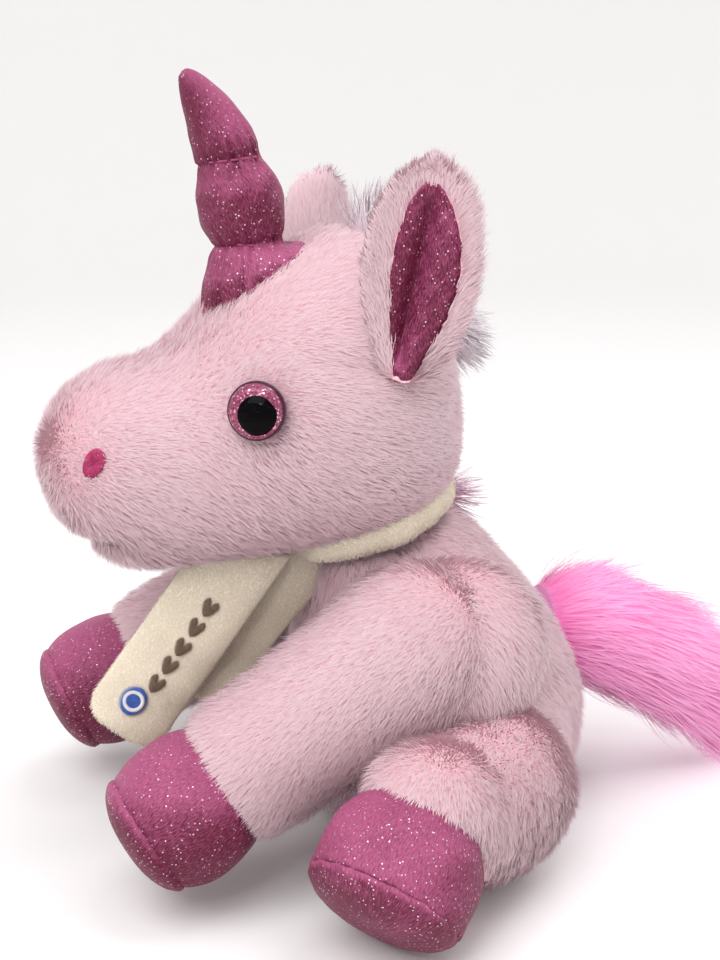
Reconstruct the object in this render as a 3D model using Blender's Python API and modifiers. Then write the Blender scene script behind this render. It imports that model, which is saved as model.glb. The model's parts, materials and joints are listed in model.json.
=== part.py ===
# A plush unicorn sitting up, as the pieces that it is sewn and stuffed from.
# Metres, +Z up. It faces -Y, its left is +X, and the origin is the middle of its flat seat.

from math import cos, pi, radians, sin

import bmesh
import bpy
from mathutils import Matrix, Vector
from mathutils.bvhtree import BVHTree

# Cloth, and the room that pieces leave each other
PLUSH_WALL = 0.0024
VELVET_WALL = 0.0014
SCARF_WALL = 0.0018
SEAM_GAP = 0.0005  # between pieces that are sewn or glued together
CUFF_GAP = 0.0012  # between a limb's cuff and its hoof, whose walls meet at an angle
SOCKET_GAP = 0.0010  # round a ball root, in the recess that it turns in
FILL_GAP = 0.0026  # between a skin's inner face and the stuffing

# Torso: four sections above a flat seat, each with its height, width, depth and place behind the origin
SEAT_WIDTH, SEAT_DEPTH = 0.060, 0.066
HIP_HEIGHT, HIP_WIDTH, HIP_DEPTH, HIP_BACK = 0.031, 0.084, 0.098, 0.004
WAIST_HEIGHT, WAIST_WIDTH, WAIST_DEPTH, WAIST_BACK = 0.058, 0.058, 0.082, -0.001
CHEST_HEIGHT, CHEST_WIDTH, CHEST_DEPTH, CHEST_BACK = 0.077, 0.049, 0.073, -0.015
TORSO_HEIGHT = 0.085
BEAN_BAG_WIDTH, BEAN_BAG_DEPTH, BEAN_BAG_HEIGHT = 0.046, 0.054, 0.014

# Neck: a ball of stuffing, half in the torso and half in the head
NECK_RADIUS = 0.019
NECK_BACK = -0.020
NECK_RISE = 0.006  # of its middle above the torso's top

# Head, from its back to its nose
HEAD_LENGTH, HEAD_WIDTH, HEAD_HEIGHT = 0.130, 0.098, 0.092
SNOUT_WIDTH, SNOUT_HEIGHT, SNOUT_DROP = 0.068, 0.062, 0.021
HEAD_BACK = 0.009  # its back end's place behind the origin
HEAD_CLEARANCE = 0.0095  # of the skull's underside over the torso's top
# share of the length, share of the way from skull to snout, fullness
HEAD_SECTIONS = (
    (0.00, 0.00, 0.34),
    (0.07, 0.00, 0.70),
    (0.21, 0.00, 0.94),
    (0.38, 0.02, 1.00),
    (0.55, 0.30, 1.02),
    (0.70, 0.88, 1.00),
    (0.86, 1.00, 1.00),
    (0.955, 1.06, 0.76),
    (1.00, 1.10, 0.38),
)

# Safety eyes: a glossy dome on a ribbed peg, locked by a washer inside the skin
EYE_RADIUS, EYE_DOME = 0.008, 0.0045
EYE_PEG_RADIUS, EYE_PEG_LENGTH = 0.0018, 0.013
EYE_AHEAD, EYE_RISE = 0.023, 0.000  # from the middle of the skull
WASHER_RADIUS, WASHER_THICKNESS = 0.006, 0.0014
NOSTRIL_LENGTH, NOSTRIL_WIDTH, NOSTRIL_THICKNESS = 0.0085, 0.0058, 0.0020
NOSTRIL_SIDEWAYS, NOSTRIL_AHEAD, NOSTRIL_RISE = 0.95, 0.10, 0.20  # parts of a direction

# Horn: a gathered velvet cone on a ball root, tied in with two threads
HORN_LENGTH, HORN_BASE_RADIUS = 0.061, 0.0145
HORN_AHEAD, HORN_LEAN, HORN_SEAT = 0.014, 14.0, -0.006
HORN_THREAD_RADIUS = 0.0007
# share of the length, share of the base radius
HORN_PROFILE = (
    (1.00, 0.00),
    (0.97, 0.20),
    (0.82, 0.44),
    (0.68, 0.62),
    (0.625, 0.55),
    (0.56, 0.70),
    (0.44, 0.84),
    (0.33, 0.76),
    (0.265, 0.64),
    (0.16, 0.82),
    (0.00, 1.00),
)
HORN_WAISTS = ((0.625, 0.55), (0.265, 0.64))

# Ears: a plush leaf on a ball root, with a velvet lining on its outer face
EAR_LENGTH, EAR_WIDTH, EAR_THICKNESS = 0.057, 0.036, 0.011
EAR_ROOT_RADIUS, EAR_SEAT = 0.008, 0.0045
EAR_BEHIND, EAR_RISE, EAR_TURN, EAR_LEAN = 0.016, 0.012, 62.0, 7.0
EAR_SPLAY = {"left": 6.0, "right": 20.0}
EAR_LINING_SHARE = 0.66  # of the ear's width
# share of the length, share of the width, share of the thickness
EAR_SECTIONS = (
    (0.22, 0.74, 1.0),
    (0.45, 1.00, 1.0),
    (0.70, 0.90, 0.9),
    (0.90, 0.52, 0.8),
    (1.00, 0.18, 0.5),
)
FORELOCK_SIZE = (0.020, 0.016, 0.011)
MANE_SIZE = (0.016, 0.024, 0.009)

# Arms: a ball root, a stuffed shaft and a velvet hoof with a sole
ARM_RADIUS, WRIST_RADIUS = 0.0215, 0.0195
SHOULDER_RISE = 0.06025  # of the shoulder's middle over half an arm's radius
SHOULDER_BACK, SHOULDER_SINK = -0.014, 0.0005
ARM_REACH = {"left": 0.075, "right": 0.084}
ARM_SPLAY = 0.003
FRONT_HOOF_LENGTH, FRONT_HOOF_RADIUS = 0.031, 0.0195
FRONT_HOOF_LIFT = {"left": 0.008, "right": 0.011}

# Legs: the same build, spread on the ground
LEG_RADIUS, ANKLE_RADIUS = 0.0235, 0.0190
HIP_PIVOT_HEIGHT, HIP_PIVOT_BACK, HIP_SINK = 0.027, 0.012, 0.008
LEG_REACH, LEG_SPREAD = 0.049, 0.037
HIND_HOOF_LENGTH, HIND_HOOF_RADIUS, HIND_HOOF_DIP = 0.029, 0.0205, 42.0
SOLE_SHARE = {"front": 0.80, "hind": 0.94}  # of its hoof's radius
PELLET_SHARE = 0.62  # of a hoof's radius that its pellet pouch fills

# Tail: a stuffed core in a sleeve of long pile
TAIL_ROOT_RADIUS, TAIL_ROOT_HEIGHT, TAIL_SEAT = 0.0085, 0.052, 0.002
TAIL_PILE_START = 0.0080  # behind the root's middle
TAIL_CORE_LENGTH = 0.050
TAIL_LENGTH, TAIL_PILE_RADIUS, TAIL_PILE_WALL = 0.086, 0.0175, 0.0035
TAIL_DROOP = 0.044

# Scarf: a band round the neck and two ends that hang over the chest
SCARF_WIDTH, SCARF_COLLAR_HEIGHT = 0.026, 0.0044
SCARF_COLLAR_GAP = 0.0050  # between the collar's inner edge and the neck
SCARF_COLLAR_WIDTH = 0.0070
SCARF_END_LENGTH = 0.052
SCARF_END_DROP = 0.000  # of its upper corner under the torso's top
SCARF_END_SIDE, SCARF_END_AHEAD = 0.013, 0.020  # left of the middle, and ahead of the chest
SCARF_END_OVERLAP, SCARF_END_APART = 0.55, 0.004  # of the plain end behind the embroidered one
SCARF_ACROSS = Vector((0.22, 0.80, -0.54))  # the way across both ends
MOTIF_COUNT, MOTIF_SIZE, MOTIF_THICKNESS = 5, 0.0064, 0.0008
BADGE_RADIUS = 0.0052

COLOURS = {
    "plush": ((0.93, 0.70, 0.76), 0.95),
    "fill": ((0.93, 0.93, 0.91), 1.0),
    "velvet": ((0.62, 0.10, 0.32), 0.35),
    "eye": ((0.02, 0.01, 0.02), 0.08),
    "washer": ((0.85, 0.85, 0.83), 0.45),
    "stitching": ((0.16, 0.09, 0.05), 0.6),
    "nose": ((0.52, 0.05, 0.20), 0.5),
    "badge": ((0.04, 0.10, 0.45), 0.6),
    "scarf": ((0.83, 0.77, 0.66), 0.9),
    "pile": ((0.91, 0.35, 0.66), 0.8),
    "tuft": ((0.86, 0.76, 0.84), 0.85),
    "pellets": ((0.90, 0.88, 0.84), 0.8),
}
SIDES = {"left": 1, "right": -1}
FORWARD = Vector((0, -1, 0))
UP = Vector((0, 0, 1))
SIDEWAYS = Vector((1, 0, 0))


# --- scene, collections and materials ---


def clear_scene():
    for thing in list(bpy.data.objects):
        bpy.data.objects.remove(thing, do_unlink=True)


def new_collection(name):
    collection = bpy.data.collections.new(name)
    bpy.context.scene.collection.children.link(collection)
    return collection


def material(finish):
    colour, roughness = COLOURS[finish]
    found = bpy.data.materials.get(finish)
    if found:
        return found
    made = bpy.data.materials.new(finish)
    made.use_nodes = True
    shader = made.node_tree.nodes["Principled BSDF"]
    shader.inputs["Base Color"].default_value = (*colour, 1.0)
    shader.inputs["Roughness"].default_value = roughness
    shader.inputs["Metallic"].default_value = 0.0
    return made


def piece(name, mesh, finish, place=Matrix.Identity(4), smooth=True):
    """A part in the unicorn's collection, with its origin at place."""
    thing = bpy.data.objects.new(name, mesh)
    parts.objects.link(thing)
    thing.matrix_world = place
    mesh.materials.append(material(finish))
    if smooth:
        mesh.shade_smooth()
    return thing


def cutter(name, mesh, place=Matrix.Identity(4)):
    thing = bpy.data.objects.new(name, mesh)
    cutters.objects.link(thing)
    thing.matrix_world = place
    thing.hide_render = True
    thing.display_type = "WIRE"
    return thing


# --- mesh makers, each in the frame of the object that it is for ---


def mesh_of(name, build):
    mesh = bpy.data.meshes.new(name)
    bm = bmesh.new()
    build(bm)
    bm.to_mesh(mesh)
    bm.free()
    return mesh


def ball_mesh(name, size, segments=16, rings=8):
    """An ellipsoid with these three half sizes."""

    def build(bm):
        bmesh.ops.create_uvsphere(bm, u_segments=segments, v_segments=rings, radius=1.0)
        bmesh.ops.scale(bm, vec=Vector(size), verts=bm.verts)

    return mesh_of(name, build)


def rod_mesh(name, radius, low, high, segments=16):
    """A cylinder along Z from low to high."""

    def build(bm):
        place = Matrix.Translation((0, 0, (low + high) / 2))
        bmesh.ops.create_cone(
            bm,
            cap_ends=True,
            segments=segments,
            radius1=radius,
            radius2=radius,
            depth=high - low,
            matrix=place,
        )

    return mesh_of(name, build)


def loft_mesh(name, stations, along=None, side=SIDEWAYS, sides=12, open_start=False, open_end=False):
    """Rings of (middle, half width, half height) joined by quads. A ring faces the next one, or the way
    given as its fourth value. One smoothing step draws a ring in, so the cage stands out by that much."""
    swell = 1 / (0.75 + 0.25 * cos(2 * pi / sides))

    def build(bm):
        rings = []
        last = len(stations) - 1
        for i, (middle, wide, high, *faced) in enumerate(stations):
            before = stations[max(i - 1, 0)][0]
            after = stations[min(i + 1, last)][0]
            ahead = faced[0] if faced else along or (after - before).normalized()
            across = (side - side.project(ahead)).normalized()
            upright = ahead.cross(across)
            ring = []
            for k in range(sides):
                turn = 2 * pi * k / sides
                point = middle + (across * cos(turn) * wide + upright * sin(turn) * high) * swell
                ring.append(bm.verts.new(point))
            rings.append(ring)
        for lower, upper in zip(rings, rings[1:]):
            for k in range(sides):
                after = (k + 1) % sides
                bm.faces.new((lower[k], lower[after], upper[after], upper[k]))
        if not open_start:
            bm.faces.new(list(reversed(rings[0])))
        if not open_end:
            bm.faces.new(rings[-1])

    return mesh_of(name, build)


def inset(stations, depth, start=True, end=True):
    """The same stations drawn in by depth, with the closed ends drawn back as far."""
    drawn = [[middle.copy(), wide - depth, high - depth, *faced] for middle, wide, high, *faced in stations]
    if start:
        drawn[0][0] += (stations[1][0] - stations[0][0]).normalized() * depth
    if end:
        drawn[-1][0] += (stations[-2][0] - stations[-1][0]).normalized() * depth
    return drawn


# --- modifiers ---


def soften(thing, levels=1):
    smooth = thing.modifiers.new("Soft form", "SUBSURF")
    smooth.levels = levels
    smooth.render_levels = levels


def thicken(thing, wall):
    cloth = thing.modifiers.new("Cloth", "SOLIDIFY")
    cloth.thickness = wall
    cloth.offset = -1
    cloth.use_even_offset = True


def cut(thing, *tools):
    for tool in tools:
        boolean = thing.modifiers.new("Cut " + tool.name, "BOOLEAN")
        boolean.operation = "DIFFERENCE"
        boolean.object = tool


def turn(thing, steps=20):
    """Spins a profile that stands at +X round the object's own Z."""
    screw = thing.modifiers.new("Turned", "SCREW")
    screw.axis = "Z"
    screw.angle = 2 * pi
    screw.steps = steps
    screw.render_steps = steps
    screw.use_merge_vertices = True
    screw.merge_threshold = 0.00005


def profile_mesh(name, points):
    """An open line of (radius, height) points, from its top down."""

    def build(bm):
        spots = [bm.verts.new((radius, 0, height)) for radius, height in points]
        for a, b in zip(spots, spots[1:]):
            bm.edges.new((a, b))

    return mesh_of(name, build)


def skin_tree(thing):
    """The outer face of a soft form as it is before its cloth gets a thickness."""
    return BVHTree.FromObject(thing, bpy.context.evaluated_depsgraph_get())


def surface(tree, start, way):
    """Where a line from inside a form leaves it, and the way that it faces there."""
    spot, facing, _, _ = tree.ray_cast(start, way.normalized())
    return spot, facing


def facing_matrix(spot, facing, level=UP):
    """A frame at spot whose Z is facing and whose X lies level."""
    across = level.cross(facing).normalized()
    upright = facing.cross(across)
    frame = Matrix((across, upright, facing)).transposed().to_4x4()
    return Matrix.Translation(spot) @ frame


# --- torso ---


def torso_stations():
    seat = [
        (Vector((0, 0, 0)), SEAT_WIDTH / 4, SEAT_DEPTH / 4),
        (Vector((0, 0, 0)), SEAT_WIDTH / 2, SEAT_DEPTH / 2),
    ]
    lower = 0.35
    low_hip = (
        Vector((0, HIP_BACK * lower, HIP_HEIGHT * lower)),
        (SEAT_WIDTH * lower + HIP_WIDTH * (1 - lower)) / 2,
        (SEAT_DEPTH * lower + HIP_DEPTH * (1 - lower)) / 2,
    )
    hip = (Vector((0, HIP_BACK, HIP_HEIGHT)), HIP_WIDTH / 2, HIP_DEPTH / 2)
    waist = (Vector((0, WAIST_BACK, WAIST_HEIGHT)), WAIST_WIDTH / 2, WAIST_DEPTH / 2)
    chest = (Vector((0, CHEST_BACK, CHEST_HEIGHT)), CHEST_WIDTH / 2, CHEST_DEPTH / 2)
    top = (Vector((0, CHEST_BACK, TORSO_HEIGHT)), CHEST_WIDTH / 4, CHEST_DEPTH / 4)
    return [*seat, low_hip, hip, waist, chest, top]


def make_torso():
    skin = piece("torso_skin", loft_mesh("torso_skin", torso_stations(), along=UP), "plush")
    soften(skin)
    return skin


def fill_torso():
    depth = PLUSH_WALL + FILL_GAP
    stations = inset(torso_stations()[1:], depth)
    bag_top = depth + BEAN_BAG_HEIGHT
    floor = bag_top + FILL_GAP
    for station in stations[:2]:
        station[0] = Vector((0, 0, floor))
    fill = piece("torso_fill", loft_mesh("torso_fill", stations, along=UP), "fill")
    soften(fill)
    size = (BEAN_BAG_WIDTH / 2, BEAN_BAG_DEPTH / 2, BEAN_BAG_HEIGHT / 2)
    place = Matrix.Translation((0, 0, depth + BEAN_BAG_HEIGHT / 2))
    piece("seat_bean_bag", ball_mesh("seat_bean_bag", size, 12, 6), "pellets", place)
    return fill


# --- neck and head ---


def neck_middle():
    return Vector((0, NECK_BACK, TORSO_HEIGHT + NECK_RISE))


def skull_height():
    return TORSO_HEIGHT + HEAD_CLEARANCE + HEAD_HEIGHT / 2


def head_stations():
    stations = []
    for along, snout, fullness in HEAD_SECTIONS:
        narrow = min(snout, 1)
        wide = (HEAD_WIDTH * (1 - narrow) + SNOUT_WIDTH * narrow) / 2
        high = (HEAD_HEIGHT * (1 - narrow) + SNOUT_HEIGHT * narrow) / 2
        middle = Vector((0, HEAD_BACK - along * HEAD_LENGTH, skull_height() - snout * SNOUT_DROP))
        stations.append((middle, wide * fullness, high * fullness))
    return stations


def skull_middle():
    widest = max(HEAD_SECTIONS, key=lambda row: row[2] * (row[1] < 0.1))
    return Vector((0, HEAD_BACK - widest[0] * HEAD_LENGTH, skull_height()))


def make_head():
    skin = piece("head_skin", loft_mesh("head_skin", head_stations(), along=FORWARD), "plush")
    soften(skin)
    return skin


def fill_head():
    stations = inset(head_stations(), PLUSH_WALL + FILL_GAP)
    fill = piece("head_fill", loft_mesh("head_fill", stations, along=FORWARD), "fill")
    soften(fill)
    return fill


def make_neck():
    ball = ball_mesh("neck_fill", [NECK_RADIUS] * 3)
    piece("neck_fill", ball, "fill", Matrix.Translation(neck_middle()))
    return socket("neck", neck_middle(), NECK_RADIUS)


def socket(name, middle, radius):
    """The recess that a ball root turns in."""
    room = radius + SOCKET_GAP
    return cutter("cut_" + name, ball_mesh("cut_" + name, [room] * 3), Matrix.Translation(middle))


# --- face ---


def make_eye(side, tree):
    """Adds an eye and its washer, and returns the hole for its peg and the pocket behind it."""
    start = skull_middle() + FORWARD * EYE_AHEAD + UP * EYE_RISE
    spot, facing = surface(tree, start, SIDEWAYS * SIDES[side])
    place = facing_matrix(spot + facing * SEAM_GAP, facing)
    rim = 0.0008
    dome = [(0.0, EYE_DOME)]
    for degrees in range(22, 90, 22):
        angle = radians(degrees)
        dome.append((EYE_RADIUS * sin(angle), rim + (EYE_DOME - rim) * cos(angle)))
    dome += [
        (EYE_RADIUS, rim),
        (EYE_RADIUS, 0.0),
        (EYE_PEG_RADIUS, 0.0),
        (EYE_PEG_RADIUS, -EYE_PEG_LENGTH),
        (0.0, -EYE_PEG_LENGTH),
    ]
    eye = piece(f"eye_{side}", profile_mesh(f"eye_{side}", dome), "eye", place)
    turn(eye, 16)
    sagitta = WASHER_RADIUS**2 / (SNOUT_HEIGHT / 2)
    top = -(SEAM_GAP + PLUSH_WALL + sagitta + SEAM_GAP)
    hole = EYE_PEG_RADIUS + SEAM_GAP
    ring = [
        (hole, top),
        (WASHER_RADIUS, top),
        (WASHER_RADIUS, top - WASHER_THICKNESS),
        (hole, top - WASHER_THICKNESS),
        (hole, top),
    ]
    washer = piece(f"eye_washer_{side}", profile_mesh(f"eye_washer_{side}", ring), "washer", place)
    turn(washer, 16)
    deep = -(EYE_PEG_LENGTH + FILL_GAP)
    peg_hole = cutter(f"cut_peg_{side}", rod_mesh(f"cut_peg_{side}", hole, deep, 0.002, 12), place)
    room = WASHER_RADIUS + FILL_GAP
    pocket = cutter(f"cut_pocket_{side}", rod_mesh(f"cut_pocket_{side}", room, deep, 0.004, 12), place)
    return peg_hole, pocket


def make_nostril(side, tree):
    start = head_stations()[-3][0]
    way = Vector((NOSTRIL_SIDEWAYS * SIDES[side], -NOSTRIL_AHEAD, NOSTRIL_RISE))
    spot, facing = surface(tree, start, way)
    size = (NOSTRIL_WIDTH / 2, NOSTRIL_LENGTH / 2, NOSTRIL_THICKNESS / 2)
    place = facing_matrix(spot + facing * (NOSTRIL_THICKNESS / 2 + SEAM_GAP), facing)
    tilt = Matrix.Rotation(radians(24) * SIDES[side], 4, "Z")
    piece(f"nostril_{side}", ball_mesh(f"nostril_{side}", size, 12, 6), "nose", place @ tilt)


# --- horn ---


def make_horn(tree):
    over = skull_middle() + FORWARD * HORN_AHEAD
    spot, _ = surface(tree, over, UP)
    middle = spot + UP * HORN_SEAT
    place = Matrix.Translation(middle) @ Matrix.Rotation(radians(HORN_LEAN), 4, "X")
    profile = [(HORN_BASE_RADIUS * wide, HORN_LENGTH * high) for high, wide in HORN_PROFILE]
    root = []
    for degrees in (30, 60):
        angle = radians(degrees)
        root.append((HORN_BASE_RADIUS * cos(angle), -HORN_BASE_RADIUS * sin(angle)))
    skin = piece("horn_skin", profile_mesh("horn_skin", profile + root), "velvet", place)
    turn(skin, 16)
    thicken(skin, VELVET_WALL)
    depth = VELVET_WALL + FILL_GAP
    inner = [(0.0, HORN_LENGTH * 0.86)]
    for high, wide in HORN_PROFILE[3:]:
        inner.append((HORN_BASE_RADIUS * wide - depth, HORN_LENGTH * high))
    inner += [(radius - depth, height + depth / 2) for radius, height in root[:1]]
    inner.append((0.0, inner[-1][1]))
    fill = piece("horn_fill", profile_mesh("horn_fill", inner), "fill", place)
    turn(fill, 14)
    for name, (high, wide) in zip(("upper", "lower"), HORN_WAISTS):
        reach = HORN_BASE_RADIUS * wide + HORN_THREAD_RADIUS + SEAM_GAP
        points = []
        for k in range(7):
            angle = 2 * pi * k / 6
            across = reach + HORN_THREAD_RADIUS * cos(angle)
            along = HORN_LENGTH * high - HORN_THREAD_RADIUS * sin(angle)
            points.append((across, along))
        thread = piece(f"horn_thread_{name}", profile_mesh(f"horn_thread_{name}", points), "velvet", place)
        turn(thread, 16)
    return socket("horn", middle, HORN_BASE_RADIUS)


# --- ears and tufts ---


def make_ear(side, tree):
    sign = SIDES[side]
    start = skull_middle() + UP * EAR_RISE - FORWARD * EAR_BEHIND
    spot, facing = surface(tree, start, SIDEWAYS * sign)
    middle = spot + facing * EAR_SEAT
    splay = Matrix.Rotation(radians(EAR_SPLAY[side]) * sign, 4, "Y")
    lean = Matrix.Rotation(-radians(EAR_LEAN), 4, "X")
    spin = Matrix.Rotation(radians(EAR_TURN) * sign, 4, "Z")
    place = Matrix.Translation(middle) @ splay @ lean @ spin
    # In the ear's own frame Z runs to the tip, X across the leaf and -Y out of the lined face.
    half = EAR_WIDTH / 2
    thick = EAR_THICKNESS / 2
    leaf = [
        (Vector((0, 0, -0.92 * EAR_ROOT_RADIUS)), 0.35 * EAR_ROOT_RADIUS, 0.35 * EAR_ROOT_RADIUS),
        (Vector((0, 0, -0.55 * EAR_ROOT_RADIUS)), 0.80 * EAR_ROOT_RADIUS, 0.80 * EAR_ROOT_RADIUS),
        (Vector((0, 0, 0.25 * EAR_ROOT_RADIUS)), 0.94 * EAR_ROOT_RADIUS, 0.90 * EAR_ROOT_RADIUS),
    ]
    for along, width, depth in EAR_SECTIONS:
        leaf.append((Vector((0, 0, EAR_LENGTH * along)), half * width, thick * depth))
    back = piece(f"ear_{side}", loft_mesh(f"ear_{side}", leaf, along=UP, sides=8), "plush", place)
    soften(back)
    lining = []
    front = -(thick * 1.02 + SEAM_GAP + VELVET_WALL / 2)
    for along, width in ((0.16, 0.25), (0.24, 0.62), (0.45, 1.0), (0.70, 0.92), (0.86, 0.55), (0.92, 0.2)):
        middle_of = Vector((0, front, EAR_LENGTH * along))
        lining.append((middle_of, half * width * EAR_LINING_SHARE, VELVET_WALL / 2))
    sheet = loft_mesh(f"ear_{side}_lining", lining, along=UP, sides=6)
    soften(piece(f"ear_{side}_lining", sheet, "velvet", place))
    return socket(f"ear_{side}", middle, EAR_ROOT_RADIUS)


def make_tuft(name, tree, start, way, size):
    spot, facing = surface(tree, start, way)
    place = facing_matrix(spot + facing * (size[2] / 2 + SEAM_GAP), facing, SIDEWAYS)
    halves = [edge / 2 for edge in size]
    piece(name, ball_mesh(name, halves, 10, 6), "tuft", place)


# --- limbs ---


def ball_stations(middle, way, radius):
    """The closed end of a limb: the rear of a ball round its pivot."""
    rows = []
    for degrees in (-74, -44, -12):
        angle = radians(degrees)
        rows.append((middle + way * radius * sin(angle), radius * cos(angle), radius * cos(angle)))
    return rows


def make_limb(
    name, hoof_name, pivot, root_radius, end, end_radius, hoof_way, hoof_length, hoof_radius, sole_share
):
    """A skin from its ball root to the cuff, its stuffing, and the hoof, sole and pouch past the cuff."""
    home = Matrix.Translation(pivot)
    end = end - pivot
    way = end.normalized()
    swell = (root_radius + end_radius) / 2
    local = ball_stations(Vector((0, 0, 0)), way, root_radius)
    local += [(end * 0.52, swell, swell), (end, end_radius, end_radius, hoof_way)]
    skin_mesh = loft_mesh(f"{name}_skin", local, side=UP, sides=10, open_end=True)
    skin = piece(f"{name}_skin", skin_mesh, "plush", home)
    soften(skin)
    thicken(skin, PLUSH_WALL)
    stuffing = inset(local, PLUSH_WALL + FILL_GAP)
    fill = piece(f"{name}_fill", loft_mesh(f"{name}_fill", stuffing, side=UP, sides=8), "fill", home)
    soften(fill)

    start = end + hoof_way * CUFF_GAP
    sole_radius = hoof_radius * sole_share
    toe = start + hoof_way * (hoof_length - VELVET_WALL - SEAM_GAP)
    sleeve = [
        (start, end_radius, end_radius),
        (start + hoof_way * hoof_length * 0.5, hoof_radius, hoof_radius),
        (toe, sole_radius, sole_radius),
    ]
    open_both = loft_mesh(hoof_name, sleeve, hoof_way, UP, 10, open_start=True, open_end=True)
    hoof = piece(hoof_name, open_both, "velvet", home)
    soften(hoof)
    thicken(hoof, VELVET_WALL)
    sole_at = toe + hoof_way * SEAM_GAP
    panel = [
        (sole_at, sole_radius, sole_radius),
        (sole_at + hoof_way * VELVET_WALL, sole_radius * 0.94, sole_radius * 0.94),
    ]
    sole = loft_mesh(f"{hoof_name}_sole", panel, hoof_way, UP, 16)
    piece(f"{hoof_name}_sole", sole, "velvet", home, smooth=False)
    pouch_size = [hoof_radius * PELLET_SHARE] * 3
    pouch_at = home @ Matrix.Translation(start + hoof_way * hoof_length * 0.52)
    piece(f"{hoof_name}_pouch", ball_mesh(f"{hoof_name}_pouch", pouch_size, 10, 6), "pellets", pouch_at)
    return socket(name, pivot, root_radius)


def make_arm(side, tree):
    sign = SIDES[side]
    start = Vector((0, SHOULDER_BACK, SHOULDER_RISE + ARM_RADIUS * 0.5))
    spot, _ = surface(tree, start, SIDEWAYS * sign)
    pivot = spot + SIDEWAYS * sign * (ARM_RADIUS - SHOULDER_SINK)
    hoof_middle_height = FRONT_HOOF_LIFT[side] + FRONT_HOOF_RADIUS
    hoof_middle = Vector((pivot.x + ARM_SPLAY * sign, pivot.y - ARM_REACH[side], hoof_middle_height))
    way = (hoof_middle - pivot).normalized()
    end = hoof_middle - way * FRONT_HOOF_LENGTH * 0.5
    return make_limb(
        f"arm_{side}",
        f"front_hoof_{side}",
        pivot,
        ARM_RADIUS,
        end,
        WRIST_RADIUS,
        way,
        FRONT_HOOF_LENGTH,
        FRONT_HOOF_RADIUS,
        SOLE_SHARE["front"],
    )


def make_leg(side, tree):
    sign = SIDES[side]
    start = Vector((0, HIP_PIVOT_BACK, HIP_PIVOT_HEIGHT))
    spot, _ = surface(tree, start, SIDEWAYS * sign)
    pivot = spot + SIDEWAYS * sign * (LEG_RADIUS - HIP_SINK)
    level = Vector((LEG_SPREAD * sign, -LEG_REACH, 0))
    dip = radians(HIND_HOOF_DIP)
    hoof_way = level.normalized() * cos(dip) - UP * sin(dip)
    sole_low = HIND_HOOF_RADIUS * SOLE_SHARE["hind"] * cos(dip) + HIND_HOOF_LENGTH * 0.5 * sin(dip)
    middle_height = max(sole_low, HIND_HOOF_RADIUS * cos(dip))
    hoof_middle = Vector((pivot.x, pivot.y, 0)) + level + UP * middle_height
    end = hoof_middle - hoof_way * HIND_HOOF_LENGTH * 0.5
    return make_limb(
        f"leg_{side}",
        f"hind_hoof_{side}",
        pivot,
        LEG_RADIUS,
        end,
        ANKLE_RADIUS,
        hoof_way,
        HIND_HOOF_LENGTH,
        HIND_HOOF_RADIUS,
        SOLE_SHARE["hind"],
    )


# --- tail ---


def tail_spot(root, share):
    """A point of the tail's middle line, which leaves level and droops."""
    return root + Vector((0, TAIL_LENGTH * share, -TAIL_DROOP * share**2))


def make_tail(tree):
    start = Vector((0, 0, TAIL_ROOT_HEIGHT))
    spot, _ = surface(tree, start, -FORWARD)
    root = spot - FORWARD * TAIL_SEAT
    home = Matrix.Translation(root)
    origin = Vector((0, 0, 0))
    core = ball_stations(origin, -FORWARD, TAIL_ROOT_RADIUS)
    core_share = TAIL_CORE_LENGTH / TAIL_LENGTH
    for share, width in ((0.40, 0.72), (1.0, 0.34)):
        radius = TAIL_ROOT_RADIUS * width
        core.append((tail_spot(origin, core_share * share), radius, radius))
    soften(piece("tail_core", loft_mesh("tail_core", core, sides=8), "plush", home))
    sleeve = []
    sleeve_start = TAIL_PILE_START / TAIL_LENGTH
    rows = ((0.0, 0.80), (0.30, 0.96), (0.62, 1.0), (0.90, 0.62), (1.0, 0.20))
    for share, width in rows:
        radius = TAIL_PILE_RADIUS * width
        along = sleeve_start + (1 - sleeve_start) * share
        sleeve.append((tail_spot(origin, along), radius, radius))
    pile = piece("tail_pile", loft_mesh("tail_pile", sleeve, sides=8, open_start=True), "pile", home)
    soften(pile)
    thicken(pile, TAIL_PILE_WALL)
    return socket("tail", root, TAIL_ROOT_RADIUS)


# --- scarf ---


def make_collar():
    middle = neck_middle()
    inner = NECK_RADIUS + SCARF_COLLAR_GAP
    reach = inner + SCARF_COLLAR_WIDTH / 2
    points = []
    for k in range(7):
        angle = 2 * pi * k / 6
        across = SCARF_COLLAR_WIDTH / 2 * cos(angle)
        points.append((reach + across, -SCARF_COLLAR_HEIGHT / 2 * sin(angle)))
    height = TORSO_HEIGHT + SEAM_GAP + SCARF_COLLAR_HEIGHT / 2
    place = Matrix.Translation((0, middle.y, height))
    turn(piece("scarf_collar", profile_mesh("scarf_collar", points), "scarf", place), 20)


def scarf_end_frame(top, down, across, along):
    """The frame on a scarf end at a distance below its top: Z out of its face, Y up its length."""
    facing = across.cross(-down).normalized()
    frame = Matrix((across, -down, facing)).transposed().to_4x4()
    return Matrix.Translation(top + down * along) @ frame


def make_scarf_end(name, top, down, across):
    def build(bm):
        bmesh.ops.create_grid(bm, x_segments=4, y_segments=8, size=0.5)
        bmesh.ops.scale(bm, vec=Vector((SCARF_WIDTH, SCARF_END_LENGTH, 1)), verts=bm.verts)
        bmesh.ops.translate(bm, vec=Vector((0, -SCARF_END_LENGTH / 2, 0)), verts=bm.verts)

    cloth = piece(name, mesh_of(name, build), "scarf", scarf_end_frame(top, down, across, 0), smooth=False)
    thicken(cloth, SCARF_WALL)
    cloth.modifiers["Cloth"].offset = 0


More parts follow.
